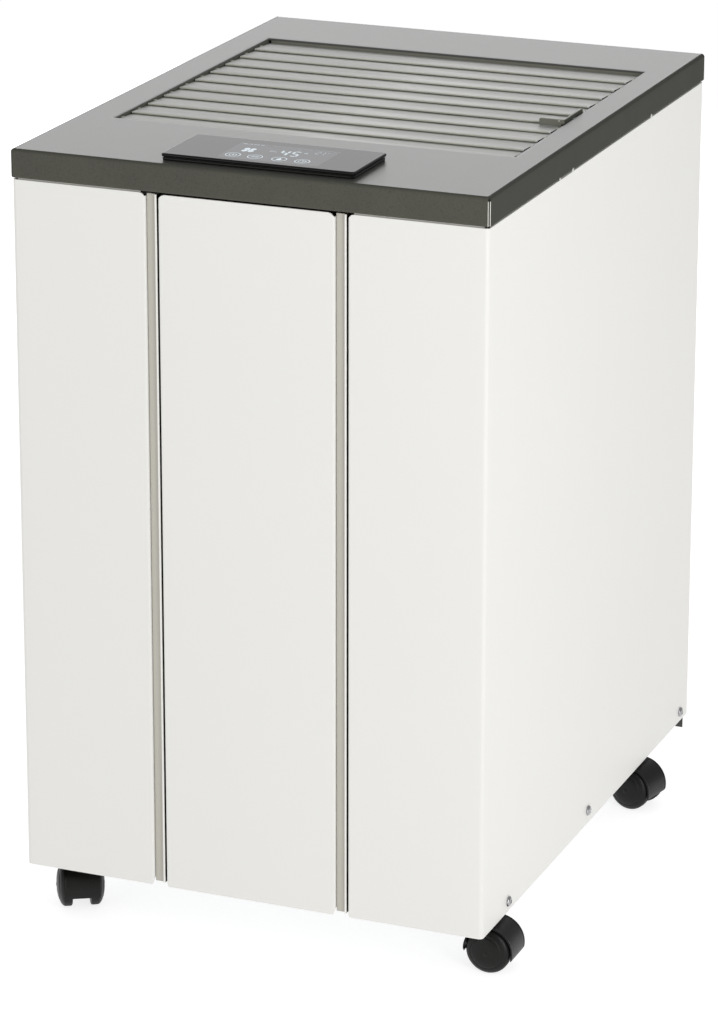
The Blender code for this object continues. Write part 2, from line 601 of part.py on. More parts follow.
bm = bmesh.new()
add_lathe(bm, [(0, 42), (50, 42), (57, 50), (58, 60), (58, 200), (54, 216), (40, 226), (0, 231)], 20, place(-12, 152, 0))
finish("compressor", bm, BLACK, 0.35, smooth=40)
bm = bmesh.new()
add_lathe(bm, [(0, 70), (12, 72), (21, 82), (21, 176), (12, 188), (0, 190)], 14, place(82, 168, 0))
finish("accumulator", bm, BLACK, 0.35, smooth=40)


def tube(name, pts, r, rgb):
    """Pipe through the given points, on a smooth curve sampled every few millimetres."""
    P = [Vector(p) for p in pts]
    P = [P[0] * 2 - P[1]] + P + [P[-1] * 2 - P[-2]]
    out = []
    for k in range(1, len(P) - 2):
        p0, p1, p2, p3 = P[k - 1:k + 3]
        n = max(2, int((p2 - p1).length / 9))
        for s in range(n):
            t = s / n
            out.append(0.5 * ((2 * p1) + (p2 - p0) * t + (2 * p0 - 5 * p1 + 4 * p2 - p3) * t ** 2
                              + (3 * p1 - p0 - 3 * p2 + p3) * t ** 3))
    out.append(P[-2])
    cu = bpy.data.curves.new(name, "CURVE")
    cu.dimensions = "3D"
    cu.bevel_depth = r * MM
    cu.bevel_resolution = 1
    cu.use_fill_caps = True
    sp = cu.splines.new("POLY")
    sp.points.add(len(out) - 1)
    for q, p in zip(sp.points, out):
        q.co = (*(p * MM), 1.0)
    cu.materials.append(material(name, rgb, 0.3, 0.95))
    ob = bpy.data.objects.new(name, cu)
    bpy.context.scene.collection.objects.link(ob)
    ob.parent = ASSEMBLY
    return ob


COPPER = (0.55, 0.26, 0.14)
tube("suction_pipe", [(82, 168, 190.6), (82, 168, 215), (100, 172, 238), (138, 176, 246), (142, 178, 290), (142, 180, 330),
                      (132, 181, 340), (118.6, 181, 341)], 4.5, COPPER)
tube("discharge_pipe", [(-40, 152, 229.6), (-42, 150, 240), (-80, 144, 249), (-135, 138, 250), (-142, 136, 290),
                        (-142, 138, 400), (-133, 140, 412), (-118.6, 140, 413)], 3.5, COPPER)

# scroll housing, open upwards to the louvres
bm = bmesh.new()
spiral = []
for k in range(25):
    a = 180 + 300 * k / 24                      # degrees, starting at the left
    r = 104 + 24 * k / 24
    spiral.append((r * math.cos(math.radians(a)), FAN_Z + r * math.sin(math.radians(a))))
path = [(-104, 524)] + [(-104, 440)] + spiral[:-9]
path = path + [(118, 440), (118, 524)]
add_prism(bm, sheet_outline(path, 2.0), "Y", -6, 92)
finish("fan_housing", bm, (0.30, 0.31, 0.31), 0.5, smooth=30)

# impeller: ring of vanes on a disc, turning about Y
bm = bmesh.new()
vanes = []
for k in range(28):
    for da, r in ((0.0, 92.0), (0.45, 92.0), (0.5, 80.0), (0.95, 80.0)):
        a = 2 * math.pi * (k + da) / 28
        vanes.append((r * math.cos(a), FAN_Z + r * math.sin(a)))
add_prism(bm, vanes, "Y", 2, 84)
imp = finish("fan_impeller", bm, (0.12, 0.12, 0.12), 0.45, origin=(0, 40, FAN_Z))
bm = bmesh.new()
add_lathe(bm, [(0, 8), (74, 8), (74, 100), (0, 100)], 28, place(0, 0, FAN_Z, AX_Y))
cut(imp, finish("cut_impeller_eye", bm, BLACK, 0.4, guide=True, origin=(0, 40, FAN_Z)))

bm = bmesh.new()
add_lathe(bm, [(0, -78), (40, -78), (48, -70), (48, -18), (44, -10), (6, -10), (6, 1.6), (0, 1.6)], 20,
          place(0, 0, FAN_Z, AX_Y))
finish("fan_motor", bm, STEEL, 0.4, 0.8, smooth=40)

bm = bmesh.new()
add_lathe(bm, [(0, 264.2), (20, 264.2), (20, 334), (17, 337), (0, 337)], 16, place(-120, -60, 0))
finish("run_capacitor", bm, (0.55, 0.55, 0.56), 0.35, 0.7, smooth=40)
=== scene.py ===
"""Looks for the dehumidifier: detailed sheet-metal, louvre, display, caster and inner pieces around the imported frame."""

import math

import bmesh
import bpy
from mathutils import Matrix, Vector


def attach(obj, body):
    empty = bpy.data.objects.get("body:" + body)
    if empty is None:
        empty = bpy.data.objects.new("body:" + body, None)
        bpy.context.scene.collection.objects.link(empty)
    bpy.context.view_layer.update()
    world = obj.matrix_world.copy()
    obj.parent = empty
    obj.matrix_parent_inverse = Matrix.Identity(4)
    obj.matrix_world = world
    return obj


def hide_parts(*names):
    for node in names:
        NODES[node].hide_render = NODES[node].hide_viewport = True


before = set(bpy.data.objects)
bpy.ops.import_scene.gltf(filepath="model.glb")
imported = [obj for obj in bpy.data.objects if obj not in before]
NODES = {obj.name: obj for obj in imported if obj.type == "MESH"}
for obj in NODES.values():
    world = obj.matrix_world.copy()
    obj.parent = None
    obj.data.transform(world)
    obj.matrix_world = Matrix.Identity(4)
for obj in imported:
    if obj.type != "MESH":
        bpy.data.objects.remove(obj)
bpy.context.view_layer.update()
MM = 0.001

# ---------------------------------------------------------------- dimensions shared with the CAD (mm)
HX, HY = 172.5, 228.0
LID_TOP, SKIRT = 558.5, 20.0
ZB = LID_TOP - SKIRT
BEND = 2.4
OX0, OX1, OY0, OY1 = -146.0, 150.0, -120.0, 153.0
CX, CY = 171.9, 227.4
BOT, CTOP = 37.0, 537.6
GROOVE, COVER = 73.2, 63.7
PIV_Y, PITCH, PIV_Z, PIV_DZ = -105.7, 26.99, 555.1, 0.0
BX0, BX1 = -145.2, 146.4
FRAME_TOP, FRAME_BOT = 556.6, 530.0
WORLD = 0.46
CASTERS = (("front_right", 1, -188.0, 0.0), ("front_left", -1, -188.0, -60.0),
           ("rear_right", 1, 126.0, -12.2), ("rear_left", -1, 126.0, 192.2))
FAN_Z = 388.0


# ---------------------------------------------------------------- materials
def lin(c):
    return tuple(((v / 255) / 12.92) if v / 255 <= 0.04045 else (((v / 255) + 0.055) / 1.055) ** 2.4 for v in c)


def nodes_of(name):
    m = bpy.data.materials.new(name)
    m.use_nodes = True
    nt = m.node_tree
    return m, nt, nt.nodes["Principled BSDF"]


def noise(nt, scale, detail=2.0, rough=0.5, stretch=(1, 1, 1), rot=(0, 0, 0)):
    tc = nt.nodes.new("ShaderNodeTexCoord")
    mp = nt.nodes.new("ShaderNodeMapping")
    mp.inputs["Scale"].default_value = stretch
    mp.inputs["Rotation"].default_value = rot
    nt.links.new(tc.outputs["Object"], mp.inputs["Vector"])
    n = nt.nodes.new("ShaderNodeTexNoise")
    n.inputs["Scale"].default_value = scale
    n.inputs["Detail"].default_value = detail
    n.inputs["Roughness"].default_value = rough
    nt.links.new(mp.outputs["Vector"], n.inputs["Vector"])
    return n.outputs["Fac"]


def ramp(nt, fac, stops):
    r = nt.nodes.new("ShaderNodeValToRGB")
    el = r.color_ramp.elements
    el[0].position, el[0].color = stops[0][0], (*stops[0][1], 1)
    el[1].position, el[1].color = stops[-1][0], (*stops[-1][1], 1)
    for p, c in stops[1:-1]:
        e = el.new(p)
        e.color = (*c, 1)
    nt.links.new(fac, r.inputs["Fac"])
    return r.outputs["Color"]


def remap(nt, fac, lo, hi, a=0.3, b=0.7):
    r = nt.nodes.new("ShaderNodeMapRange")
    r.inputs["From Min"].default_value = a
    r.inputs["From Max"].default_value = b
    r.inputs["To Min"].default_value = lo
    r.inputs["To Max"].default_value = hi
    nt.links.new(fac, r.inputs["Value"])
    return r.outputs["Result"]


def mix(nt, fac, a, b, mode="MIX"):
    n = nt.nodes.new("ShaderNodeMix")
    n.data_type = "RGBA"
    n.blend_type = mode
    for s, v in ((n.inputs["Factor"], fac), (n.inputs["A"], a), (n.inputs["B"], b)):
        if isinstance(v, bpy.types.NodeSocket):
            nt.links.new(v, s)
        elif isinstance(v, (int, float)):
            s.default_value = v
        else:
            s.default_value = (*v, 1)
    return n.outputs["Result"]


def bump(nt, bsdf, height, strength, dist):
    b = nt.nodes.new("ShaderNodeBump")
    b.inputs["Strength"].default_value = strength
    b.inputs["Distance"].default_value = dist
    nt.links.new(height, b.inputs["Height"])
    nt.links.new(b.outputs["Normal"], bsdf.inputs["Normal"])
    return b


def scaled(c, k):
    return tuple(min(1.0, v * k) for v in c)


def surface(name, rgb, rough, metal=0.0, spec=0.5, coat=0.0, coat_rough=0.1, cloud=0.02, cloud_scale=7.0,
            grain=0.03, grain_scale=900.0, bump_k=0.12, bump_d=0.00005, bump_scale=1400.0, rough_var=0.03,
            stretch=(1, 1, 1), transmission=0.0, ior=1.5, tint=None, subsurface=0.0):
    """Paint or moulded plastic: slow colour clouds, fine grain, and an orange-peel or spark-eroded bump."""
    m, nt, p = nodes_of(name)
    c = lin(rgb)
    slow = noise(nt, cloud_scale, 3.0, 0.55)
    base = ramp(nt, slow, [(0.3, scaled(c, 1 - cloud)), (0.7, scaled(c, 1 + cloud))])
    fine = noise(nt, grain_scale, 3.0, 0.65, stretch)
    speck = ramp(nt, fine, [(0.25, (1 - grain,) * 3), (0.5, (1.0,) * 3), (0.75, (min(1.0, 1 + grain),) * 3)])
    nt.links.new(mix(nt, 1.0, base, speck, "MULTIPLY"), p.inputs["Base Color"])
    nt.links.new(remap(nt, fine, max(0.02, rough - rough_var), rough + rough_var), p.inputs["Roughness"])
    p.inputs["Metallic"].default_value = metal
    p.inputs["Specular IOR Level"].default_value = spec
    p.inputs["Coat Weight"].default_value = coat
    p.inputs["Coat Roughness"].default_value = coat_rough
    p.inputs["IOR"].default_value = ior
    p.inputs["Transmission Weight"].default_value = transmission
    p.inputs["Subsurface Weight"].default_value = subsurface
    if tint is not None:
        p.inputs["Specular Tint"].default_value = (*tint, 1)
    bump(nt, p, noise(nt, bump_scale, 4.0, 0.6), bump_k, bump_d)
    m.diffuse_color = (*c, 1)
    return m


def brushed(name, rgb, rough, metal=1.0, axis="X", contrast=0.10, spec=0.5, tint=None, lines=700.0, bump_k=0.2):
    """Brushed metal: long streaks along one axis in colour, roughness and bump."""
    m, nt, p = nodes_of(name)
    c = lin(rgb)
    st = {"X": (0.012, 1, 1), "Y": (1, 0.012, 1), "Z": (1, 1, 0.012)}[axis]
    st2 = {"X": (0.05, 1, 1), "Y": (1, 0.05, 1), "Z": (1, 1, 0.05)}[axis]
    streak = noise(nt, lines, 4.0, 0.7, st)
    broad = noise(nt, lines * 0.14, 3.0, 0.6, st2)
    a = ramp(nt, streak, [(0.25, scaled(c, 1 - contrast)), (0.5, c), (0.78, scaled(c, 1 + contrast))])
    b = ramp(nt, broad, [(0.3, (1 - contrast * 0.8,) * 3), (0.7, (1.0,) * 3)])
    nt.links.new(mix(nt, 1.0, a, b, "MULTIPLY"), p.inputs["Base Color"])
    nt.links.new(remap(nt, streak, rough - 0.06, rough + 0.08), p.inputs["Roughness"])
    p.inputs["Metallic"].default_value = metal
    p.inputs["Specular IOR Level"].default_value = spec
    p.inputs["Anisotropic"].default_value = 0.4
    if tint is not None:
        p.inputs["Specular Tint"].default_value = (*tint, 1)
    bump(nt, p, streak, bump_k, 0.00004)
    m.diffuse_color = (*c, 1)
    return m


M = {}
M["white"] = surface("powder_white", (228, 227, 223), 0.36, spec=0.5, cloud=0.006, cloud_scale=3.0, grain=0.006,
                     grain_scale=1500, bump_k=0.05, bump_d=0.00003, bump_scale=1100, rough_var=0.02)
M["white_in"] = surface("powder_white_inner", (205, 203, 196), 0.5, cloud=0.01, grain=0.01)
# painted shade: grey-beige, darker than the white panels, standing for the groove's shade on the trim
M["strip"] = surface("trim_strip", (184, 181, 171), 0.48, spec=0.4, cloud=0.012, cloud_scale=9, grain=0.02,
                     grain_scale=1200, bump_k=0.08)
M["strip_lip"] = surface("trim_strip_lip", (232, 231, 226), 0.4, cloud=0.01, grain=0.01)
M["lid"] = surface("powder_grey", (82, 82, 78), 0.36, spec=0.5, cloud=0.03, cloud_scale=38, grain=0.14,
                   grain_scale=1300, bump_k=0.10, bump_d=0.00005, bump_scale=1500, rough_var=0.04)
M["skirt"] = surface("powder_grey_skirt", (82, 82, 75), 0.55, spec=0.03, cloud=0.04, cloud_scale=38, grain=0.24,
                     grain_scale=800, bump_k=0.10, bump_d=0.00005, bump_scale=1500, rough_var=0.04)
# painted shade: a darker copy of the same skirt paint, for the left and right skirts
M["skirt_shaded_copy"] = surface("powder_grey_skirt_shaded_copy", (66, 67, 61), 0.55, spec=0.03, cloud=0.04, cloud_scale=38,
                          grain=0.24, grain_scale=800, bump_k=0.10, bump_d=0.00005, bump_scale=1500, rough_var=0.04)
# painted light: a lighter copy of the lid's grey paint, brightening the opening's folded edges in the recess
M["fold"] = surface("lid_grey_lit_copy", (134, 134, 124), 0.5, spec=0.2, cloud=0.04, cloud_scale=38, grain=0.16,
                    grain_scale=1300, bump_k=0.10, bump_d=0.00005, bump_scale=1500)
M["bare"] = surface("bare_edge", (206, 206, 198), 0.34, metal=0.4, cloud=0.05, cloud_scale=160, grain=0.08)
M["blade"] = brushed("brushed_blade", (187, 187, 184), 0.50, metal=0.30, contrast=0.22, spec=0.4, bump_k=0.12, lines=330.0)
# painted light: a lighter, less metallic copy of the blade metal for the front hems, pins and cranks
M["blade_hem"] = brushed("brushed_blade_lit_copy", (214, 215, 200), 0.5, metal=0.1, contrast=0.10)
# painted highlight: near-white surface standing for glints at the blades' front corners
M["painted_glint"] = surface("bright_painted_glint", (244, 244, 238), 0.35, metal=0.05, cloud=0.03, cloud_scale=160, grain=0.05)
# painted shade: a near-black surface put in gaps, notches and cut ends where there is only shadow
M["painted_shade_black"] = surface("painted_gap_shade", (26, 26, 24), 0.6, spec=0.2)
M["frame"] = surface("outlet_frame", (104, 105, 95), 0.5, spec=0.4, cloud=0.03, grain=0.05)
# painted light: a lighter copy of the lever steel, for the finger tab's front face
M["tab"] = brushed("lever_steel_lit_copy", (140, 140, 130), 0.42, metal=0.2, contrast=0.10, axis="X")
M["lever"] = brushed("lever_steel", (104, 106, 96), 0.42, metal=0.35, contrast=0.08, axis="X")
M["house"] = surface("display_housing_black", (24, 24, 22), 0.4, spec=0.3, cloud=0.03, grain=0.05, bump_k=0.2)
M["rimdark"] = surface("display_rim", (14, 14, 13), 0.30, spec=0.22, cloud=0.02, grain=0.02, bump_k=0.02)
M["caster"] = surface("caster_nylon", (14, 14, 12), 0.38, spec=0.24, cloud=0.05, cloud_scale=60, grain=0.08,
                      grain_scale=1600, bump_k=0.22, bump_d=0.00008, bump_scale=1900, rough_var=0.05)
M["tread"] = surface("caster_tread", (20, 20, 18), 0.55, spec=0.22, cloud=0.06, cloud_scale=90, grain=0.12,
                     grain_scale=1100, bump_k=0.35, bump_d=0.00012, bump_scale=1300)
M["zinc"] = brushed("zinc_plate", (196, 197, 199), 0.30, metal=1.0, contrast=0.05, axis="Z")
M["chrome"] = surface("screw_chrome", (168, 168, 170), 0.2, metal=1.0, cloud=0.04, cloud_scale=300, grain=0.05,
                      grain_scale=2500, bump_k=0.1)
M["galv"] = surface("galvanised", (172, 175, 177), 0.42, metal=0.85, cloud=0.10, cloud_scale=45, grain=0.06,
                    grain_scale=500, bump_k=0.1)
M["back"] = surface("back_panel_plastic", (62, 63, 60), 0.50, spec=0.4, cloud=0.02, cloud_scale=10, grain=0.05,
                    grain_scale=1500, bump_k=0.35, bump_d=0.0001, bump_scale=1700)
M["black"] = surface("black_plastic", (26, 26, 25), 0.42, cloud=0.03, grain=0.05, bump_k=0.25, bump_d=0.00008)
M["tank"] = surface("tank_polymer", (150, 168, 178), 0.22, spec=0.5, cloud=0.02, grain=0.02, transmission=0.75,
                    ior=1.45, bump_k=0.05)
M["handle"] = surface("handle_plastic", (66, 70, 73), 0.38, cloud=0.03, grain=0.04, bump_k=0.25)
M["float"] = surface("float_orange", (205, 98, 38), 0.55, cloud=0.05, grain=0.08, bump_k=0.5, bump_d=0.0002,
                     bump_scale=900)
M["alu"] = brushed("fin_aluminium", (205, 207, 208), 0.30, metal=1.0, contrast=0.06, axis="Z", lines=900)
M["copper"] = surface("copper_tube", (200, 128, 88), 0.24, metal=1.0, cloud=0.10, cloud_scale=50, grain=0.05,
                      bump_k=0.08)
M["enamel"] = surface("compressor_enamel", (24, 24, 24), 0.28, spec=0.5, cloud=0.03, grain=0.05, coat=0.4,
                      bump_k=0.2, bump_d=0.0001, bump_scale=500)
M["fan"] = surface("fan_polymer", (70, 72, 73), 0.5, cloud=0.03, grain=0.05, bump_k=0.2)
M["fanlight"] = surface("scroll_polymer", (176, 178, 177), 0.5, cloud=0.02, grain=0.03, bump_k=0.2)
M["motor"] = brushed("motor_can", (158, 160, 162), 0.36, metal=1.0, contrast=0.06, axis="Y")
M["board"] = surface("circuit_board", (28, 84, 44), 0.36, cloud=0.10, cloud_scale=120, grain=0.12, grain_scale=600)
M["mesh"] = surface("filter_frame", (46, 47, 45), 0.5, cloud=0.03, grain=0.05, bump_k=0.3)

# mesh screen behind the intake slats: a woven grid, drawn by two crossed wave patterns
m, nt, p = nodes_of("filter_screen")
tc = nt.nodes.new("ShaderNodeTexCoord")
hs = []
for d in ("X", "Z"):
    w = nt.nodes.new("ShaderNodeTexWave")
    w.bands_direction = d
    w.inputs["Scale"].default_value = 210.0
    w.inputs["Distortion"].default_value = 0.0
    nt.links.new(tc.outputs["Object"], w.inputs["Vector"])
    hs.append(w.outputs["Fac"])
mx = nt.nodes.new("ShaderNodeMath")
mx.operation = "MAXIMUM"
nt.links.new(hs[0], mx.inputs[0])
nt.links.new(hs[1], mx.inputs[1])
nt.links.new(ramp(nt, mx.outputs[0], [(0.55, (0.006, 0.006, 0.006)), (0.9, (0.09, 0.09, 0.088))]), p.inputs["Base Color"])
p.inputs["Roughness"].default_value = 0.6
bump(nt, p, mx.outputs[0], 0.6, 0.0004)
M["screen"] = m

# display glass: near-black tinted slab, polished, with the faintest waviness and smudges
m, nt, p = nodes_of("display_glass_tint")
sm = noise(nt, 26.0, 4.0, 0.6)
nt.links.new(ramp(nt, sm, [(0.3, (0.022, 0.022, 0.025)), (0.7, (0.027, 0.027, 0.030))]), p.inputs["Base Color"])
nt.links.new(remap(nt, sm, 0.07, 0.12), p.inputs["Roughness"])
p.inputs["Specular IOR Level"].default_value = 0.05
M["glass"] = m


def glow(name, rgb, strength, base=(0.3, 0.3, 0.3)):
    m, nt, p = nodes_of(name)
    f = noise(nt, 900.0, 2.0)
    c = lin(rgb)
    nt.links.new(ramp(nt, f, [(0.3, scaled(c, 0.85)), (0.7, c)]), p.inputs["Emission Color"])
    p.inputs["Emission Strength"].default_value = strength
    p.inputs["Base Color"].default_value = (*base, 1)
    p.inputs["Roughness"].default_value = 0.1
    p.inputs["Specular IOR Level"].default_value = 0.05
    return m


M["icon"] = glow("display_icon", (205, 226, 238), 0.55)
M["icon_dim"] = glow("display_icon_dim", (168, 186, 200), 0.35)
M["lit"] = glow("display_lit_area", (120, 122, 128), 0.16, (0.035, 0.035, 0.04))


# ---------------------------------------------------------------- mesh helpers (all in mm)
def obj_from(name, bm, mats, body, replaces=(), smooth=35, weld=1e-4):
    bmesh.ops.remove_doubles(bm, verts=bm.verts, dist=weld)
    bmesh.ops.recalc_face_normals(bm, faces=bm.faces)
    for v in bm.verts:
        v.co = v.co * MM
    me = bpy.data.meshes.new(name)
    bm.to_mesh(me)
    bm.free()
    ob = bpy.data.objects.new(name, me)
    bpy.context.scene.collection.objects.link(ob)
    for k in (mats if isinstance(mats, (list, tuple)) else [mats]):
        me.materials.append(M[k])
    if smooth:
        me.shade_smooth()
        me.set_sharp_from_angle(angle=math.radians(smooth))
    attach(ob, body)
    if replaces:
        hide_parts(*replaces)
    return ob


def bevel(ob, width, segs=2, angle=40, harden=False):
    m = ob.modifiers.new("edges", "BEVEL")
    m.width = width * MM
    m.segments = segs
    m.limit_method = "ANGLE"
    m.angle_limit = math.radians(angle)
    m.use_clamp_overlap = True
    m.harden_normals = harden
    m.miter_outer = "MITER_ARC"
    return ob


def arc(cx, cy, r, a0, a1, n):
    return [(cx + r * math.cos(math.radians(a0 + (a1 - a0) * i / n)),
             cy + r * math.sin(math.radians(a0 + (a1 - a0) * i / n))) for i in range(n + 1)]


def box(bm, x0, x1, y0, y1, z0, z1, mat=0):
    v = [bm.verts.new((x, y, z)) for z in (z0, z1) for y in (y0, y1) for x in (x0, x1)]
    out = []
    for f in ((0, 2, 3, 1), (4, 5, 7, 6), (0, 1, 5, 4), (2, 6, 7, 3), (0, 4, 6, 2), (1, 3, 7, 5)):
        face = bm.faces.new([v[i] for i in f])
        face.material_index = mat
        out.append(face)
    return v


def loft(bm, loops, closed=False, mat=0, caps=True):
    rows = [[bm.verts.new(p) for p in lp] for lp in loops]
    n = len(rows[0])
    pairs = list(zip(rows, rows[1:])) + ([(rows[-1], rows[0])] if closed else [])
    faces = []
    for a, b in pairs:
        for i in range(n):
            j = (i + 1) % n
            f = bm.faces.new((a[i], a[j], b[j], b[i]))
            f.material_index = mat
            faces.append(f)
    if not closed and caps:
        for lp in (rows[0][::-1], rows[-1]):
            f = bm.faces.new(lp)
            f.material_index = mat
            faces.append(f)
    return rows, faces


def lathe(bm, prof, segs, mtx, mat=0, close=False):
    rows = []
    for r, h in prof:
        if r < 1e-6:
            rows.append([bm.verts.new(mtx @ Vector((0, 0, h)))])
        else:
            rows.append([bm.verts.new(mtx @ Vector((r * math.cos(2 * math.pi * i / segs),
                                                    r * math.sin(2 * math.pi * i / segs), h))) for i in range(segs)])
    pairs = list(zip(rows, rows[1:])) + ([(rows[-1], rows[0])] if close else [])
    for a, b in pairs:
        for i in range(segs):
            j = (i + 1) % segs
            if len(a) == 1 and len(b) == 1:
                continue
            if len(a) == 1:
                f = bm.faces.new((a[0], b[j], b[i]))
            elif len(b) == 1:
                f = bm.faces.new((a[i], a[j], b[0]))
            else:
                f = bm.faces.new((a[i], a[j], b[j], b[i]))
            f.material_index = mat


def offset(pts, d):
    out = []
    for i, p in enumerate(pts):
        p = Vector(p)
        dirs = []
        if i > 0:
            dirs.append((p - Vector(pts[i - 1])).normalized())
        if i < len(pts) - 1:
            dirs.append((Vector(pts[i + 1]) - p).normalized())
        nn = [Vector((-t.y, t.x)) for t in dirs]
        if len(nn) == 1:
            out.append(p + nn[0] * d)
        else:
            m = (nn[0] + nn[1]).normalized()
            out.append(p + m * (d / max(m.dot(nn[0]), 0.2)))
    return [(q.x, q.y) for q in out]


def rrect(x0, x1, y0, y1, r, z, n=6):
    p = []
    for cx, cy, a in ((x1 - r, y0 + r, 270), (x1 - r, y1 - r, 0), (x0 + r, y1 - r, 90), (x0 + r, y0 + r, 180)):
        p += [(x, y, z) for x, y in arc(cx, cy, r, a, a + 90, n)]
    return p


ROT_X = Matrix.Rotation(math.radians(90), 4, "Y")       # lathe axis +Z -> +X
ROT_Y = Matrix.Rotation(math.radians(-90), 4, "X")      # lathe axis +Z -> +Y


def at(x, y, z, m=None):
    return Matrix.Translation((x, y, z)) @ (m if m is not None else Matrix.Identity(4))


def sheet_wall(name, path, t, z_lo, z_hi, mats, body, replaces, edge=0.22):
    """A folded panel standing on end: path in plan, with its lower and upper edge given along the path."""
    outer, inner = path, offset(path, t)
    s = [0.0]
    for a, b in zip(path, path[1:]):
        s.append(s[-1] + math.hypot(b[0] - a[0], b[1] - a[1]))
    total = s[-1]
    bm = bmesh.new()
    cols = []
    for i in range(len(path)):
        lo, hi = z_lo(s[i], total, path[i]), z_hi(s[i], total, path[i])
        cols.append([(outer[i][0], outer[i][1], lo), (outer[i][0], outer[i][1], hi),
                     (inner[i][0], inner[i][1], hi), (inner[i][0], inner[i][1], lo)])
    loft(bm, cols)
    ob = obj_from(name, bm, mats, body, replaces, smooth=32)
    bevel(ob, edge, 2, 50)
    return ob


def dense(a, b, n):
    return [(a[0] + (b[0] - a[0]) * i / n, a[1] + (b[1] - a[1]) * i / n) for i in range(1, n)]


# ---------------------------------------------------------------- cabinet panels
def panel_path(side):
    """From the groove's return, round the front, the corner bend and the side, to the rear flange."""
    yf, r1, rb = -CY, 1.5, 3.2
    p = [(GROOVE, yf + 9.0), (GROOVE, yf + 5.0), (GROOVE, yf + 3.0)]
    p += arc(GROOVE + r1, yf + r1, r1, 180, 270, 6)
    p += [(GROOVE + r1 + 1.0, yf), (GROOVE + r1 + 3.0, yf), (GROOVE + r1 + 8.0, yf)]
    p += dense((GROOVE + r1 + 8.0, yf), (CX - rb - 3.5, yf), 6)
    p += [(CX - rb - 3.5, yf)]
    p += arc(CX - rb, yf + rb, rb, 270, 360, 10)
    p += [(CX, yf + rb + 3.0)]
    p += dense((CX, yf + rb + 3.0), (CX, 226.0 - 6.0), 10)
    p += [(CX, 226.0 - 6.0)]
    p += arc(CX - 2.0, 226.0 - 2.0, 2.0, 0, 90, 5)
    p += [(CX - 8.0, 226.0), (CX - 14.0, 226.0)]
    return [(side * x, y) for x, y in p] if side > 0 else [(side * x, y) for x, y in p][::-1]


def casing(name, side):
    path = panel_path(side)

    def lo(s, total, p):
        u = s if side > 0 else total - s          # distance from the groove's return
        z = BOT
        if u < 9.6:
            z += 4.6 * min(1.0, (9.6 - u) / 2.2)
        v = total - u                             # from the rear flange
        if v < 15.0:
            z += 3.0 * min(1.0, (15.0 - v) / 3.0)
        if side < 0 and abs(p[0]) > CX - 3.4 and p[1] < -CY + 3.4:
            z += 0.0
        return z

    def hi(s, total, p):
        u = s if side > 0 else total - s
        z = CTOP + 6.0
        if p[1] > -CY + 3.3 and abs(p[0]) > CX - 0.5:
            return z
        if u < 8.4:
            z = CTOP - 2.6
        elif u < 11.2:
            z = CTOP - 2.6 + (u - 8.4) / 2.8 * 2.4
        else:
            z = CTOP - 0.2
        return z

    return sheet_wall(name, path, 1.2, lo, hi, ["white"], "cabinet", [name])


# the upper lap of the side panels stays under the lid: the panels stop at the skirt's lower edge
def casing_hi_fix(ob):
    for v in ob.data.vertices:
        if v.co.z > (CTOP - 0.1) * MM:
            v.co.z = (CTOP - 0.2) * MM


for nm, sd in (("right_casing", 1), ("left_casing", -1)):
    ob = casing(nm, sd)
    ob.name = nm + "_sheet"
    casing_hi_fix(ob)

# laps that run up inside the lid's skirt, set back a little
bm = bmesh.new()
for sd in (1, -1):
    x = sd * (CX - 1.5)
    box(bm, min(x, x - sd * 1.2), max(x, x - sd * 1.2), -CY + 3.0, 222.0, CTOP - 8.0, 551.5)
    a, b = sorted((sd * (GROOVE + 4.0), sd * (CX - 4.0)))
    box(bm, a, b, -CY + 1.4, -CY + 2.6, CTOP - 8.0, 551.5)
box(bm, -CX + 4, CX - 4, 224.6, 225.8, CTOP - 8.0, 551.5)
obj_from("casing_laps", bm, ["white_in"], "cabinet", smooth=0)

# centre cover, riding on the drawer
yf, r1 = -CY, 1.5
p = [(-COVER, yf + 8.6), (-COVER, yf + 5.0), (-COVER, yf + 3.0)] + arc(-COVER + r1, yf + r1, r1, 180, 270, 6)
p += [(-COVER + r1 + 1.0, yf), (-COVER + r1 + 3.0, yf)]
p += dense((-COVER + r1 + 3.0, yf), (COVER - r1 - 3.0, yf), 8)
p += [(COVER - r1 - 3.0, yf), (COVER - r1 - 1.0, yf)]
p += arc(COVER - r1, yf + r1, r1, 270, 360, 6) + [(COVER, yf + 3.0), (COVER, yf + 5.0), (COVER, yf + 8.6)]


def cover_lo(s, total, q):
    u = min(s, total - s)
    return BOT + (4.6 * min(1.0, (9.4 - u) / 2.2) if u < 9.4 else 0.0)


def cover_hi(s, total, q):
    u = min(s, total - s)
    if u < 8.0:
        return CTOP - 3.2
    if u < 11.2:
        return CTOP - 3.2 + (u - 8.0) / 3.2 * 2.8
    return CTOP - 0.4


sheet_wall("front_cover_sheet", p, 1.2, cover_lo, cover_hi, ["white"], "drawer", ["front_cover"])
# stiffening rib and two catch tongues behind the cover
bm = bmesh.new()
loft(bm, [[(x, y, z) for y, z in ((-CY + 1.5, 418.6), (-CY + 5.0, 418.6), (-CY + 5.0, 420.0), (-CY + 2.7, 420.0),
                                  (-CY + 2.7, 421.4), (-CY + 1.5, 421.4))] for x in (-52, 52)])
for x in (-34, 34):
    box(bm, x - 6, x + 6, -CY + 1.5, -CY + 7.5, 300, 301.6)
    box(bm, x - 6, x + 6, -CY + 1.5, -CY + 7.5, 480, 481.6)
bevel(obj_from("cover_ribs", bm, ["white_in"], "drawer", smooth=0), 0.3, 2)
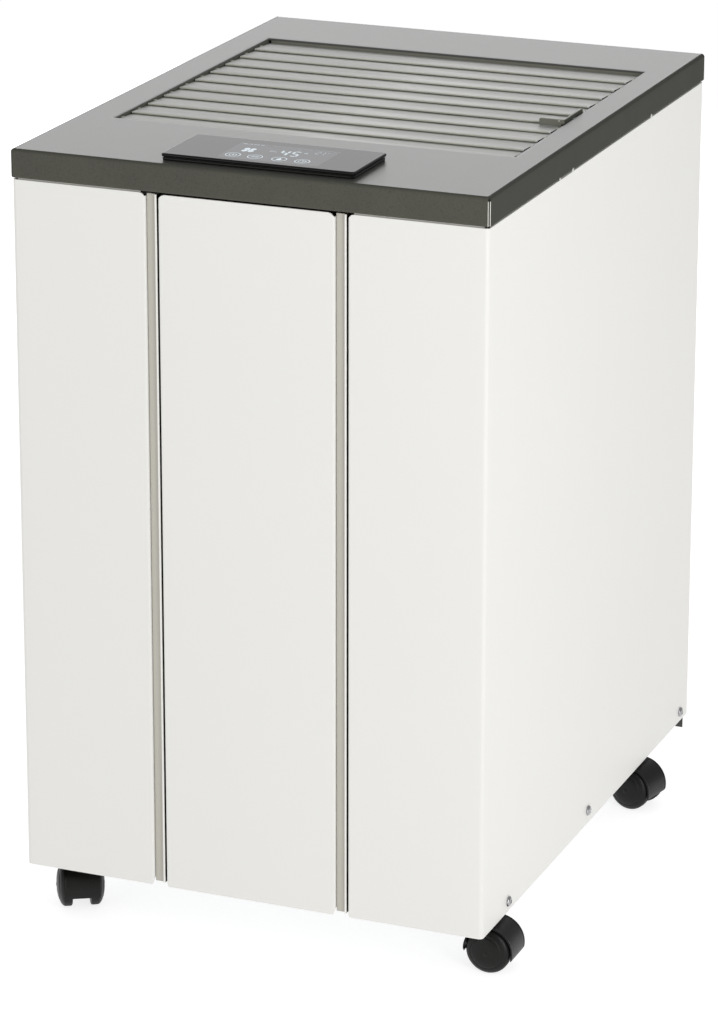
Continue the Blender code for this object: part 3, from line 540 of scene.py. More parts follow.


# groove trim: a foot behind the panel, a step forward, the strip, and a rolled lip nearly flush with the front; the
# strip's grey, darker than the white panels, is painted shade of the groove
def trim(name, x_foot, x_wall, x_lip):
    ys, yfl, t, yn = -CY + 2.2, -CY + 9.4, 1.2, -CY + 0.3
    path = [(x_foot, yfl), (x_wall, yfl)] + arc(x_wall + 0.3, ys + 0.3, 0.3, 180, 270, 3)
    path += dense((x_wall + 0.3, ys), (x_lip - 1.8, ys), 4) + [(x_lip - 1.8, ys), (x_lip - 1.58, ys - 0.08), (x_lip - 1.5, ys - 0.3)]
    path += arc(x_lip - 0.75, yn + 0.75, 0.75, 180, 360, 8)
    path += [(x_lip, yfl + t), (x_lip - t, yfl + t), (x_lip - t, ys + t), (x_wall + t, ys + t), (x_wall + t, yfl + t), (x_foot, yfl + t)]
    bm = bmesh.new()
    _, faces = loft(bm, [[(x, y, z) for x, y in path] for z in (BOT + 2.6, BOT + 3.2, CTOP - 1.5, CTOP - 0.8)])
    for f in faces:
        c = f.calc_center_median()
        if c.x > x_lip - 1.6 and len(f.verts) == 4:
            # the lip's inner faces in near-black: painted shade in the gap beside the next panel
            f.material_index = 2 if c.y > yn + 1.6 and c.x > x_lip - 0.2 else 1
    return obj_from(name + "_trim", bm, ["strip", "strip_lip", "painted_shade_black"], "cabinet", [name], smooth=40)


trim("front_post_left", -88.0, -GROOVE + 0.35, -COVER - 1.3)
trim("front_post_right", COVER - 1.0, COVER + 0.35, GROOVE - 1.3)

# near-black sheets behind the panel tops: painted shade, standing for the black gap under the lid's skirt
bm = bmesh.new()
box(bm, -CX + 5, CX - 5, -CY + 11.2, -CY + 12.2, CTOP - 14, 552)
obj_from("front_gap_shade_sheet", bm, ["painted_shade_black"], "cabinet", smooth=0)


# ---------------------------------------------------------------- lid
def flange_profile(hem=5.0):
    """From the top plate's edge: bend, skirt, rolled hem. (n outward from the plate's edge, z)."""
    t = 1.3
    out = [(0.0, LID_TOP)] + [(BEND * math.sin(math.radians(a)), LID_TOP - BEND + BEND * math.cos(math.radians(a)))
                              for a in (11, 22, 34, 45, 56, 68, 79, 90)]
    n1 = BEND
    out += [(n1, LID_TOP - 6.0), (n1, LID_TOP - 12.0), (n1, ZB + 2.6), (n1, ZB + 1.5)]
    rr = 0.95
    out += [(n1 - rr + rr * math.cos(math.radians(a)), ZB + rr + rr * math.sin(math.radians(a)))
            for a in (0, -25, -50, -75, -100, -125, -150, -180)][1:]
    inner_n = n1 - 2 * rr
    out += [(inner_n, ZB + hem)]
    out += [(inner_n + 0.55, ZB + hem + 0.3), (n1 - t + 0.05, ZB + hem + 0.6), (n1 - t, LID_TOP - 6.0)]
    ri = max(0.4, BEND - t)
    out += [(ri * math.sin(math.radians(a)), LID_TOP - BEND + ri * math.cos(math.radians(a))) for a in (90, 60, 30, 0)]
    return out


def flange(bm, side, lo, hi, open_lo, open_hi):
    """One folded skirt. side: front, back, left, right. Ends taper slightly open towards the bottom."""
    prof = flange_profile()
    ks = [0.0, 0.004, 0.5, 0.996, 1.0]
    loops = []
    for k in ks:
        lp = []
        for n, z in prof:
            f = (LID_TOP - z) / SKIRT
            a = lo + open_lo * f
            b = hi - open_hi * f
            u = a + (b - a) * k
            if side == "front":
                q = (u, -(HY - BEND) - n, z)
            elif side == "back":
                q = (u, (HY - BEND) + n, z)
            elif side == "right":
                q = ((HX - BEND) + n, u, z)
            else:
                q = (-(HX - BEND) - n, u, z)
            lp.append(q)
        loops.append(lp)
    rows, faces = loft(bm, loops)
    # left and right skirts take the darker copy of the same paint: painted shade
    for f in faces:
        f.material_index = 0 if side in ("front", "back") else 1
    return rows


bm = bmesh.new()
cut_ = 1.5
flange(bm, "front", -HX + cut_, HX - cut_, 0.05, 0.34)
flange(bm, "back", -HX + cut_, HX - cut_, 0.05, 0.05)
flange(bm, "right", -HY + cut_, HY - cut_, 0.34, 0.05)
flange(bm, "left", -HY + cut_, HY - cut_, 0.05, 0.05)
obj_from("lid_skirts", bm, ["skirt", "skirt_shaded_copy"], "cabinet", ["top_lid"], smooth=45)

bm = bmesh.new()
for px_, py_ in ((HX - 1.45, -HY + 0.32), (HX - 0.32, -HY + 1.2)):
    lathe(bm, [(0, ZB + 0.5), (0.24, ZB + 0.5), (0.32, ZB + 0.8), (0.32, LID_TOP - 3.2), (0.22, LID_TOP - 2.9), (0, LID_TOP - 2.9)],
          12, at(px_, py_, 0))
obj_from("lid_corner_bare_edges", bm, ["bare"], "cabinet", smooth=50)
# near-black fillers in the open corners of the skirts: painted shade in the corner gaps
bm = bmesh.new()
for sx_ in (1, -1):
    for sy_ in (1, -1):
        q = [(sx_ * (HX - 2.6), sy_ * (HY - 0.55)), (sx_ * (HX - 1.1), sy_ * (HY - 0.55)), (sx_ * (HX - 0.55), sy_ * (HY - 1.1)),
             (sx_ * (HX - 0.55), sy_ * (HY - 2.6)), (sx_ * (HX - 2.6), sy_ * (HY - 2.6))]
        loft(bm, [[(x, y, z) for x, y in q] for z in (ZB + 0.9, LID_TOP - 1.6)])
obj_from("lid_corner_gap_shade", bm, ["painted_shade_black"], "cabinet", smooth=0)
# a near-black block at the front-right corner by the skirt's lower edge: painted shade in the notch where the casing's
# corner cut shows
bm = bmesh.new()
loft(bm, [[(x, y, z) for x, y in ((HX - 1.9, -HY + 0.75), (HX - 1.0, -HY + 0.6), (HX - 0.6, -HY + 1.0), (HX - 0.75, -HY + 2.4), (HX - 2.2, -HY + 2.4))]
          for z in (ZB - 0.9, ZB + 0.9)])
obj_from("lid_corner_notch_shade", bm, ["painted_shade_black"], "cabinet", smooth=0)

# top plate with the outlet opening, its edges folded down; corners left open for the fold
bm = bmesh.new()
ex, ey = HX - BEND, HY - BEND
cr = 0.9


def ring(x0, x1, y0, y1, z, ch=0.0):
    return [(x0 + ch, y0, z), (x1 - ch, y0, z), (x1, y0 + ch, z), (x1, y1 - ch, z), (x1 - ch, y1, z), (x0 + ch, y1, z),
            (x0, y1 - ch, z), (x0, y0 + ch, z)]


lt = 1.3
fr = 1.0
loops = [ring(-ex - 0.02, ex + 0.02, -ey - 0.02, ey + 0.02, LID_TOP - lt, cr),
         ring(-ex - 0.02, ex + 0.02, -ey - 0.02, ey + 0.02, LID_TOP, cr),
         ring(-ex + 6, ex - 6, -ey + 6, ey - 6, LID_TOP, cr),
         ring(OX0 - 4, OX1 + 4, OY0 - 4, OY1 + 4, LID_TOP, 0.3)]
for a in (0, 22, 45, 67, 90):
    d = fr * (1 - math.sin(math.radians(a)))
    loops.append(ring(OX0 - d, OX1 + d, OY0 - d, OY1 + d, LID_TOP - fr * (1 - math.cos(math.radians(a))), 0.3))
loops.append(ring(OX0, OX1, OY0, OY1, LID_TOP - lt - 0.2, 0.3))
loops.append(ring(OX0 - 1.2, OX1 + 1.2, OY0 - 1.2, OY1 + 1.2, LID_TOP - lt - 0.2, 0.3))
loft(bm, loops, closed=True)
obj_from("lid_plate", bm, ["lid"], "cabinet", smooth=40)

# folded edges of the opening: four strips that stop short of the corners, in a lighter copy of the lid grey as painted
# light
bm = bmesh.new()
for x0, x1, y0, y1, dep in ((OX0 + 1.6, OX1 - 1.6, OY1, OY1 + 1.1, 5.2), (OX0 + 1.6, OX1 - 1.6, OY0 - 1.1, OY0, 5.2),
                            (OX0 - 1.1, OX0, OY0 + 1.6, OY1 - 1.6, 1.85), (OX1, OX1 + 1.1, OY0 + 1.6, OY1 - 1.6, 1.85)):
    box(bm, x0, x1, y0, y1, LID_TOP - dep, LID_TOP - lt)
bevel(obj_from("lid_opening_folds", bm, ["fold"], "cabinet", smooth=0), 0.3, 2)

# relief cuts at the corners, where the folds stop short: near-black blocks inside as painted shade
bm = bmesh.new()
for cx_, dx_ in ((OX0, 1), (OX1, -1)):
    for cy_, dy_ in ((OY0, -1), (OY1, 1)):
        a, b = sorted((cx_ - dx_ * 0.9, cx_ + dx_ * 1.5))
        c, d = sorted((cy_ + dy_ * 0.04, cy_ + dy_ * 0.9))
        box(bm, a, b, c, d, LID_TOP - 5.0, LID_TOP - lt - 0.1)
obj_from("lid_relief_cut_shade", bm, ["painted_shade_black"], "cabinet", smooth=0)

# side tabs and rivets under the skirt
bm = bmesh.new()
for sd in (1, -1):
    a, b = sorted((sd * (HX - 0.15), sd * (HX - 1.4)))
    box(bm, a, b, -91.5, -68.0, ZB - 1.0, ZB + 1.4)
    a, b = sorted((sd * (HX - 0.1), sd * (HX - 1.4)))
    box(bm, a, b, 99.5, 106.0, ZB - 0.5, ZB + 1.2)
bevel(obj_from("lid_tabs", bm, ["lid"], "cabinet", smooth=0), 0.25, 2)
bm = bmesh.new()
for sd in (1, -1):
    for y, z, r in ((-66.2, ZB + 0.4, 1.5), (-92.4, ZB + 0.3, 0.9), (102.8, ZB + 0.6, 1.4)):
        rot = ROT_X if sd > 0 else Matrix.Rotation(math.radians(-90), 4, "Y")
        lathe(bm, [(0, -0.2), (r, -0.2), (r, 0.2), (r * 0.8, 0.42), (r * 0.4, 0.55), (0, 0.58)], 16, at(sd * (HX - 0.1), y, z, rot))
obj_from("lid_tab_rivets", bm, ["bare"], "cabinet", smooth=50)


# ---------------------------------------------------------------- outlet frame with bearing slots
bm = bmesh.new()
gi = 0.35
ix0, ix1, iy0, iy1 = OX0 - gi, OX1 + gi, OY0 - gi, OY1 + gi
pins = [(PIV_Y + PITCH * i, PIV_Z + PIV_DZ * i) for i in range(10)]


def frame_side(x_in, x_out):
    """A long wall whose top edge dips round each blade pin."""
    top = [(iy0 - 2.0, FRAME_TOP)]
    for py, pz in pins:
        r = 1.6
        top += [(py - r, FRAME_TOP)] + [(py + r * math.cos(math.radians(a)), pz + r * math.sin(math.radians(a)))
                                        for a in (180, 205, 230, 255, 285, 310, 335, 360)] + [(py + r, FRAME_TOP)]
    top += [(iy1 + 2.0, FRAME_TOP)]
    poly = top + [(iy1 + 2.0, FRAME_BOT), (iy0 - 2.0, FRAME_BOT)]
    a, b = sorted((x_in, x_out))
    loft(bm, [[(a, y, z) for y, z in poly], [(b, y, z) for y, z in poly]])


frame_side(ix0, ix0 - 2.0)
frame_side(ix1, ix1 + 2.0)
box(bm, ix0 - 1.9, ix1 + 1.9, iy0 - 1.9, iy0, FRAME_BOT + 0.05, FRAME_TOP - 0.05)
box(bm, ix0 - 1.9, ix1 + 1.9, iy1, iy1 + 1.9, FRAME_BOT + 0.05, FRAME_TOP - 0.05)
obj_from("outlet_frame", bm, ["frame"], "cabinet", ["louvre_frame"], smooth=30)


# ---------------------------------------------------------------- louvre blades
def blade_section():
    """(y, z) about the pivot: rounded front hem, softly crowned top, rear edge tucked under the next blade."""
    zf, slope = 1.6, -0.06
    n = 10
    top = [(-12.9 + 27.9 * i / n, zf - 0.05 + slope * (27.9 * i / n + 1.0) + 0.04 * math.sin(math.pi * i / n)) for i in range(n + 1)]
    r = 0.42
    nose = [(-13.9 + r - r * math.cos(math.radians(a)), zf - 0.05 - r + r * math.sin(math.radians(a))) for a in (90, 68, 45, 22, 0)]
    low = [(-13.9, 0.7), (-13.82, 0.46), (-13.6, 0.35), (-13.2, 0.33), (-12.85, 0.41), (-12.7, 0.55)]
    under = [(y, z - 1.05) for y, z in [(-12.0 + 27.0 * i / n, zf - 0.05 + slope * (1.9 + 27.0 * i / n)
                                         + 0.04 * math.sin(math.pi * i / n)) for i in range(n + 1)]]
    rear = [(15.5, under[-1][1] + 0.05), (15.6, under[-1][1] + 0.4), (15.5, top[-1][1] - 0.1)]
    return nose + low + under + rear + top[::-1][:-1], len(nose) + len(low)


sec, n_hem = blade_section()
for i in range(10):
    py, pz = PIV_Y + PITCH * i, PIV_Z + PIV_DZ * i
    bm = bmesh.new()
    loops = []
    for x in (BX0, BX0 + 0.3, BX0 + 60, 0, BX1 - 60, BX1 - 0.3, BX1):
        sh = 0.985 if x in (BX0, BX1) else 1.0
        loops.append([(x, py + y * sh, pz + z * sh) for y, z in sec])
    rows, faces = loft(bm, loops)
    # front hem faces take the lighter copy of the blade metal: painted light
    for f in faces[:-2]:
        c = f.calc_center_median()
        y = c.y - py
        if y < -12.95:
            f.material_index = 1
    # end caps in near-black: painted shade, the dark lines at the blade ends
    for f in faces[-2:]:
        f.material_index = 3
    # small near-white blocks at the sheared front corners: painted highlights standing for glints
    for xa, w in ((BX1 - 1.7, 1.6), (BX0 + 0.1, 0.5)):
        box(bm, xa, xa + w, py - 13.98, py - 13.4, pz + 0.6, pz + 1.6, 4)
    # pivot pins with shoulders, and the crank with its pin at the right-hand end
    for xa, s in ((BX0, -1), (BX1, 1)):
        rot = ROT_X if s > 0 else Matrix.Rotation(math.radians(-90), 4, "Y")
        length = 2.5 if s < 0 else 5.4
        lathe(bm, [(0, -0.4), (1.15, -0.4), (1.2, 0.05), (1.2, length - 0.2), (1.0, length), (0, length)],
              16, at(xa, py, pz, rot), 1)
        a, b = sorted((xa - s * 6.0, xa - s * 0.3))
        box(bm, a, b, py - 1.3, py + 1.3, pz - 1.35, pz - 0.5, 1)
    cx0, cx1 = BX1 - 2.2, BX1 - 0.2
    outl = [(py - 2.6, pz - 10.0)] + [(py + 2.6 * math.cos(math.radians(a)), pz - 10.0 + 2.6 * math.sin(math.radians(a)))
                                      for a in (200, 225, 250, 270, 290, 315, 340, 360)]
    outl += [(py + 3.2, pz - 0.9), (py - 3.2, pz - 0.1)]
    loft(bm, [[(cx0, y, z) for y, z in outl], [(cx1, y, z) for y, z in outl]], mat=1)
    lathe(bm, [(0, -1.4), (1.1, -1.4), (1.1, 2.9), (0.9, 3.1), (0, 3.1)], 14, at(BX1, py, pz - 10.0, ROT_X), 2)
    obj_from("louvre_blade_%02d_sheet" % (i + 1), bm, ["blade", "blade_hem", "bare", "painted_shade_black", "painted_glint"], "blade_%02d" % (i + 1),
             ["louvre_blade_%02d" % (i + 1)], smooth=30)

# link bar with the lever: folded strip, holes for the crank pins, upright fin and finger tab
yk, zk = PIV_Y + PITCH * 3, PIV_Z + PIV_DZ * 3
lx0, lx1 = BX1 + 0.8, BX1 + 2.4


def bar_z(y):
    return PIV_Z - 10.0 + PIV_DZ * (y - PIV_Y) / PITCH


ya, yb = PIV_Y - 5.0, PIV_Y + PITCH * 9 + 5.0
bm = bmesh.new()
# bar drawn as segments between its holes, so every hole is a real ring
for i, (py, pz) in enumerate(pins):
    hz = pz - 10.0
    for xa, xb in ((lx0, lx1),):
        outer = [(py + 2.35 * math.cos(math.radians(a)), hz + 2.35 * math.sin(math.radians(a))) for a in range(0, 360, 20)]
        inner = [(py + 1.5 * math.cos(math.radians(a)), hz + 1.5 * math.sin(math.radians(a))) for a in range(0, 360, 20)]
        loft(bm, [[(xa, y, z) for y, z in outer], [(xb, y, z) for y, z in outer],
                  [(xb, y, z) for y, z in inner], [(xa, y, z) for y, z in inner]], closed=True)
    if i < 9:
        y0, y1 = py + 1.9, py + PITCH - 1.9
        loft(bm, [[(x, y0, bar_z(y0) - 1.6), (x, y1, bar_z(y1) - 1.6), (x, y1, bar_z(y1) + 1.6), (x, y0, bar_z(y0) + 1.6)]
                  for x in (lx0, lx1)])
n0, n1 = yk + 15.0, yk + 23.0
f0, f1 = yk + 7.6, yk + 46.0
ft, fb = zk + 5.5, zk + 2.2
loft(bm, [[(x, y, z) for y, z in ((n0, bar_z(n0) + 1.4), (n1, bar_z(n1) + 1.4), (n1, fb + 0.2), (n0, fb + 0.2))]
          for x in (lx0, lx1)])
obj_from("link_bar_strip", bm, ["lever"], "link_bar", ["louvre_link_bar"], smooth=30)
bm = bmesh.new()
fin = [(f0, fb), (f1 - 0.6, fb), (f1, fb + 0.6), (f1, ft - 1.8)] + \
      [(f1 - 1.8 + 1.8 * math.cos(math.radians(a)), ft - 1.8 + 1.8 * math.sin(math.radians(a))) for a in (22, 45, 67, 90)] + \
      [(f0, ft)]
loft(bm, [[(x, y, z) for y, z in fin] for x in (lx0, lx1)])
# finger tab folded from the fin's front end towards the louvres, its free edge rolled
t0, t1 = f0, yk + 12.6
tab = [(lx1, zk + 2.5), (lx1, ft)] + [(lx0 - 15.6 + 0.0, ft)] + \
      [(lx0 - 15.6 - 1.5 * math.sin(math.radians(a)), ft - 1.5 + 1.5 * math.cos(math.radians(a))) for a in (22, 45, 67, 90)] + \
      [(lx0 - 17.0, zk + 0.9), (lx0 - 16.6, zk + 0.5), (lx0 - 1.0, zk + 0.5), (lx0 - 0.6, zk + 2.5)]
bevel(obj_from("lever_fin", bm, ["lever"], "link_bar", smooth=30), 0.3, 3)
bm = bmesh.new()
# the tab's front plate takes the lighter tab copy and its top flange the lighter blade grey: painted light on the
# lever's one paint
loft(bm, [[(x, y, z) for x, z in tab] for y in (t0 - 0.02, t0 + 1.4)], mat=1)
box(bm, lx0 - 3.2, lx0 - 1.6, t0 - 0.1, t0 + 0.5, ft - 1.9, ft - 0.25, 2)
loft(bm, [[(x, y, z) for x, z in [(lx1 - 0.1, ft - 1.2), (lx1 - 0.1, ft - 0.02), (lx0 - 15.0, ft - 0.02), (lx0 - 15.0, ft - 1.2)]]
          for y in (t0 + 1.3, t1)])
bevel(obj_from("lever_tab", bm, ["blade", "tab", "bare"], "link_bar", smooth=30), 0.35, 3)

# ---------------------------------------------------------------- control panel on the lid
DX0, DX1, DY0, DY1 = -65.5, 74.0, -218.5, -159.5
bm = bmesh.new()
zb_, zt_ = LID_TOP + 0.05, LID_TOP + 1.95
loft(bm, [rrect(DX0 + 1.0, DX1 - 1.0, DY0 + 1.0, DY1 - 1.0, 2.2, zb_),
          rrect(DX0 + 0.7, DX1 - 0.7, DY0 + 0.7, DY1 - 0.7, 2.4, zb_ + 0.3),
          rrect(DX0 + 0.55, DX1 - 0.55, DY0 + 0.55, DY1 - 0.55, 2.4, zt_ - 0.4),
          rrect(DX0 + 0.9, DX1 - 0.9, DY0 + 0.9, DY1 - 0.9, 2.2, zt_)])
obj_from("display_base", bm, ["house"], "cabinet", ["display_housing"], smooth=50)
bm = bmesh.new()
loft(bm, [rrect(DX0 + 1.6, DX1 - 1.6, DY0 + 1.6, DY1 - 1.6, 1.6, zt_ - 0.05),
          rrect(DX0 + 1.6, DX1 - 1.6, DY0 + 1.6, DY1 - 1.6, 1.6, LID_TOP + 2.35)])
obj_from("display_gasket", bm, ["black"], "cabinet", smooth=50)
bm = bmesh.new()
g0, g1 = LID_TOP + 2.3, LID_TOP + 4.92
R = 1.25
steps = []
for a in (0, 20, 40, 60, 80, 90):
    d = R * (1 - math.sin(math.radians(a)))
    steps.append((d, g0 + R - R * math.cos(math.radians(a))))
for a in (0, 15, 30, 45, 60, 75, 90):
    d = R * (1 - math.cos(math.radians(a)))
    steps.append((d, g1 - R + R * math.sin(math.radians(a))))
steps.append((R + 0.45, g1))
loops = [rrect(DX0 + d, DX1 - d, DY0 + d, DY1 - d, 2.6 - 0.5 * d, z) for d, z in steps]
rows, faces = loft(bm, loops)
for f in faces:
    c = f.calc_center_median()
    inside = f is faces[-1]
    f.material_index = 0 if inside else 1
obj_from("display_slab", bm, ["glass", "rimdark"], "cabinet", ["display_glass"], smooth=50)

# lit area and symbols: thin printed shapes on the slab
TOPZ = g1
bm = bmesh.new()
loft(bm, [rrect(-27.0, 45.5, -213.5, -170.5, 0.8, z, 3) for z in (TOPZ + 0.005, TOPZ + 0.02)])
obj_from("display_lit_area", bm, ["lit"], "cabinet", smooth=0)
bm_icon, bm_dim = bmesh.new(), bmesh.new()


def plate(b, pts, z0=0.03, z1=0.07):
    loft(b, [[(x, y, TOPZ + z) for x, y in pts] for z in (z0, z1)])


def stroke(b, a, c, w):
    d = Vector((c[0] - a[0], c[1] - a[1]))
    n = Vector((-d.y, d.x)).normalized() * (w / 2)
    plate(b, [(a[0] + n.x, a[1] + n.y), (a[0] - n.x, a[1] - n.y), (c[0] - n.x, c[1] - n.y), (c[0] + n.x, c[1] + n.y)])


def circle(b, cx, cy, r, w, a0=0, a1=360, n=20):
    outer = [(cx + r * math.cos(math.radians(a0 + (a1 - a0) * k / n)), cy + r * math.sin(math.radians(a0 + (a1 - a0) * k / n)))
             for k in range(n + 1)]
    inner = [(cx + (r - w) * math.cos(math.radians(a0 + (a1 - a0) * k / n)),
              cy + (r - w) * math.sin(math.radians(a0 + (a1 - a0) * k / n))) for k in range(n + 1)]
    if abs(a1 - a0) >= 360:
        z0, z1 = TOPZ + 0.03, TOPZ + 0.07
        loft(b, [[(x, y, z0) for x, y in outer[:-1]], [(x, y, z1) for x, y in outer[:-1]],
                 [(x, y, z1) for x, y in inner[:-1]], [(x, y, z0) for x, y in inner[:-1]]], closed=True)
    else:
        plate(b, outer + inner[::-1])


SEG = {"0": "abcdef", "1": "bc", "2": "abged", "3": "abgcd", "4": "fgbc", "5": "afgcd", "6": "afgedc", "7": "abc",
       "8": "abcdefg", "9": "abcfgd"}


def digit(b, ch, x, y, w, h, t):
    P = {"a": ((x, y + h), (x + w, y + h)), "b": ((x + w, y + h), (x + w, y + h / 2)), "c": ((x + w, y + h / 2), (x + w, y)),
         "d": ((x, y), (x + w, y)), "e": ((x, y), (x, y + h / 2)), "f": ((x, y + h / 2), (x, y + h)),
         "g": ((x, y + h / 2), (x + w, y + h / 2))}
    for s in SEG[ch]:
        a, c = P[s]
        d = Vector((c[0] - a[0], c[1] - a[1])).normalized() * (t * 0.35)
        stroke(b, (a[0] + d.x, a[1] + d.y), (c[0] - d.x, c[1] - d.y), t)


# big centre figure, and a small one at the upper right
digit(bm_icon, "4", 9.0, -193.5, 4.6, 12.0, 1.5)
digit(bm_icon, "5", 17.0, -193.5, 4.6, 12.0, 1.5)
circle(bm_icon, 25.2, -183.2, 1.3, 0.5, n=12)
digit(bm_dim, "2", 31.0, -182.5, 2.6, 6.4, 0.8)
digit(bm_dim, "1", 34.2, -182.5, 2.6, 6.4, 0.8)
circle(bm_dim, 39.6, -177.2, 0.9, 0.4, n=10)
# fan symbol at the left: four petals round a hub
for k in range(4):
    a = math.radians(45 + 90 * k)
    cx_, cy_ = -14.0 + 3.2 * math.cos(a), -188.5 + 3.6 * math.sin(a)
    plate(bm_icon, [(cx_ + 2.1 * math.cos(t + a), cy_ + 2.6 * math.sin(t + a)) for t in [math.radians(v) for v in range(0, 360, 40)]])
plate(bm_icon, [(-14.0 + 1.0 * math.cos(math.radians(v)), -188.5 + 1.0 * math.sin(math.radians(v))) for v in range(0, 360, 45)])
# short bar between them
stroke(bm_dim, (0.0, -187.0), (5.6, -187.0), 1.1)
stroke(bm_dim, (0.0, -184.6), (3.6, -184.6), 0.7)
# heading line at the upper left
for a, b in ((-24.5, -21.0), (-20.2, -17.4), (-16.6, -12.6), (-11.8, -9.0)):
    stroke(bm_dim, (a, -173.6), (b, -173.6), 1.3)
stroke(bm_dim, (-8.0, -173.2), (43.0, -173.2), 0.22)
# bottom row: four ringed buttons
for k, xx in enumerate((-19.0, -3.0, 14.5, 31.0)):
    circle(bm_icon, xx, -204.0, 5.4, 0.7, n=24)
    if k == 0:
        stroke(bm_icon, (xx, -201.5), (xx, -205.0), 0.9)
        circle(bm_icon, xx, -204.2, 2.8, 0.6, 120, 420, 12)
    elif k == 1:
        for d in (-1.6, 0.0, 1.6):
            stroke(bm_icon, (xx - 2.6, -204.0 + d), (xx + 2.6, -204.0 + d + 0.6), 0.6)
    elif k == 2:
        plate(bm_icon, [(xx + 2.0 * math.cos(math.radians(v)), -205.0 + 2.0 * math.sin(math.radians(v))) for v in range(180, 361, 30)]
              + [(xx, -200.8)])
    else:
        circle(bm_icon, xx, -204.0, 2.9, 0.6, n=14)
        stroke(bm_icon, (xx, -204.0), (xx, -202.0), 0.6)
        stroke(bm_icon, (xx, -204.0), (xx + 1.5, -204.0), 0.6)
obj_from("display_symbols", bm_icon, ["icon"], "cabinet", smooth=0, weld=1e-5)
obj_from("display_symbols_dim", bm_dim, ["icon_dim"], "cabinet", smooth=0, weld=1e-5)


# ---------------------------------------------------------------- screws
def screw_mesh():
    """Pan head with a cross recess, axis +Z, seat at z = 0, diameter 8 mm."""
    bm = bmesh.new()
    lathe(bm, [(0, -3.0), (1.9, -3.0), (1.9, 0.0), (3.7, 0.0), (4.0, 0.25), (3.95, 0.8), (3.5, 1.5), (2.6, 2.05), (1.4, 2.3), (0, 2.35)],
          32, Matrix.Identity(4))
    bmesh.ops.recalc_face_normals(bm, faces=bm.faces)
    me = bpy.data.meshes.new("screw_blank")
    bm.to_mesh(me)
    bm.free()
    ob = bpy.data.objects.new("screw_blank", me)
    bpy.context.scene.collection.objects.link(ob)
    bm = bmesh.new()
    for a in (0, 90):
        r = Matrix.Rotation(math.radians(a), 4, "Z")
        for (w, l, z0, z1) in ((0.42, 2.3, 1.2, 3.2),):
            pts = [r @ Vector((x, y, z)) for z in (z0, z1) for x, y in ((-l * (1 if z == z1 else .45), -w), (l * (1 if z == z1 else .45), -w),
                                                                     (l * (1 if z == z1 else .45), w), (-l * (1 if z == z1 else .45), w))]
            vs = [bm.verts.new(q) for q in pts]
            for f in ((3, 2, 1, 0), (4, 5, 6, 7), (0, 1, 5, 4), (1, 2, 6, 5), (2, 3, 7, 6), (3, 0, 4, 7)):
                bm.faces.new([vs[i] for i in f])
    me2 = bpy.data.meshes.new("screw_cross")
    bmesh.ops.recalc_face_normals(bm, faces=bm.faces)
    bm.to_mesh(me2)
    bm.free()
    cx = bpy.data.objects.new("screw_cross", me2)
    bpy.context.scene.collection.objects.link(cx)
    md = ob.modifiers.new("cut", "BOOLEAN")
    md.operation = "DIFFERENCE"
    md.object = cx
    md.solver = "EXACT"
    md.use_self = True
    dg = bpy.context.evaluated_depsgraph_get()
    dg.update()
    res = bpy.data.meshes.new_from_object(ob.evaluated_get(dg))
    bpy.data.objects.remove(ob)
    bpy.data.objects.remove(cx)
    return res


SCREW = screw_mesh()


def screws(name, spots, body="cabinet", scale=1.0):
    """spots: (position, rotation matrix that turns +Z to the screw's axis)."""
    bm = bmesh.new()
    for pos, rot in spots:
        b2 = bmesh.new()
        b2.from_mesh(SCREW)
        b2.transform(Matrix.Translation(pos) @ rot @ Matrix.Scale(scale, 4))
        tmp = bpy.data.meshes.new("tmp")
        b2.to_mesh(tmp)
        b2.free()
        bm.from_mesh(tmp)
        bpy.data.meshes.remove(tmp)
    return obj_from(name, bm, ["chrome"], body, smooth=35)


NEG_X = Matrix.Rotation(math.radians(-90), 4, "Y")
spots = []
for sd, rot in ((1, ROT_X), (-1, NEG_X)):
    for k, (y, z) in enumerate(((-176.0, 44.5), (-9.0, 47.0), (207.0, 44.5))):
        spots.append((Vector((sd * CX, y, z)), rot @ Matrix.Rotation(math.radians(20 + 37 * k), 4, "Z")))
screws("side_screws", spots, scale=0.95)
spots = []
for x in (-160, 160):
    for z in (46, 150, 262, 400, 526):
        spots.append((Vector((x, 225.95, z)), ROT_Y @ Matrix.Rotation(math.radians(x + z * 1.7), 4, "Z")))
for x in (-60, 60):
    spots.append((Vector((x, 225.95, 526)), ROT_Y @ Matrix.Rotation(math.radians(x), 4, "Z")))
screws("back_screws", spots, scale=0.85)


# ---------------------------------------------------------------- casters
def bored(bm, cutters):
    """The closed shells in bm joined, with the cutters' volumes taken out. Both in mm."""
    made = []
    for nm, b in (("bore_blank", bm), ("bore_tool", cutters)):
        bmesh.ops.recalc_face_normals(b, faces=b.faces)
        me = bpy.data.meshes.new(nm)
        b.to_mesh(me)
        b.free()
        ob = bpy.data.objects.new(nm, me)
        bpy.context.scene.collection.objects.link(ob)
        made.append(ob)
    md = made[0].modifiers.new("cut", "BOOLEAN")
    md.operation = "DIFFERENCE"
    md.object = made[1]
    md.solver = "EXACT"
    md.use_self = True
    dg = bpy.context.evaluated_depsgraph_get()
    dg.update()
    res = bpy.data.meshes.new_from_object(made[0].evaluated_get(dg))
    for ob in made:
        bpy.data.objects.remove(ob)
    out = bmesh.new()
    out.from_mesh(res)
    bpy.data.meshes.remove(res)
    return out


def wheel_profile():
    """Outer half of one wheel, as (radius, height along the axle), from the hub cap's centre to the inner rim."""
    return [(0.0, 17.35), (1.0, 17.35), (1.5, 17.2), (1.8, 17.0), (2.4, 17.05), (5.0, 16.95), (8.0, 16.5), (10.4, 15.85),
            (11.0, 15.55), (11.25, 15.2), (11.6, 15.25), (12.6, 14.95), (14.0, 14.2), (15.0, 13.35), (15.6, 12.6),
            (15.95, 11.7), (16.0, 11.0), (16.0, 7.9), (15.9, 7.3), (15.5, 6.8), (15.0, 6.5), (12.0, 6.4), (5.0, 6.4),
            (4.6, 6.1), (4.5, 5.0), (1.7, 4.8)]


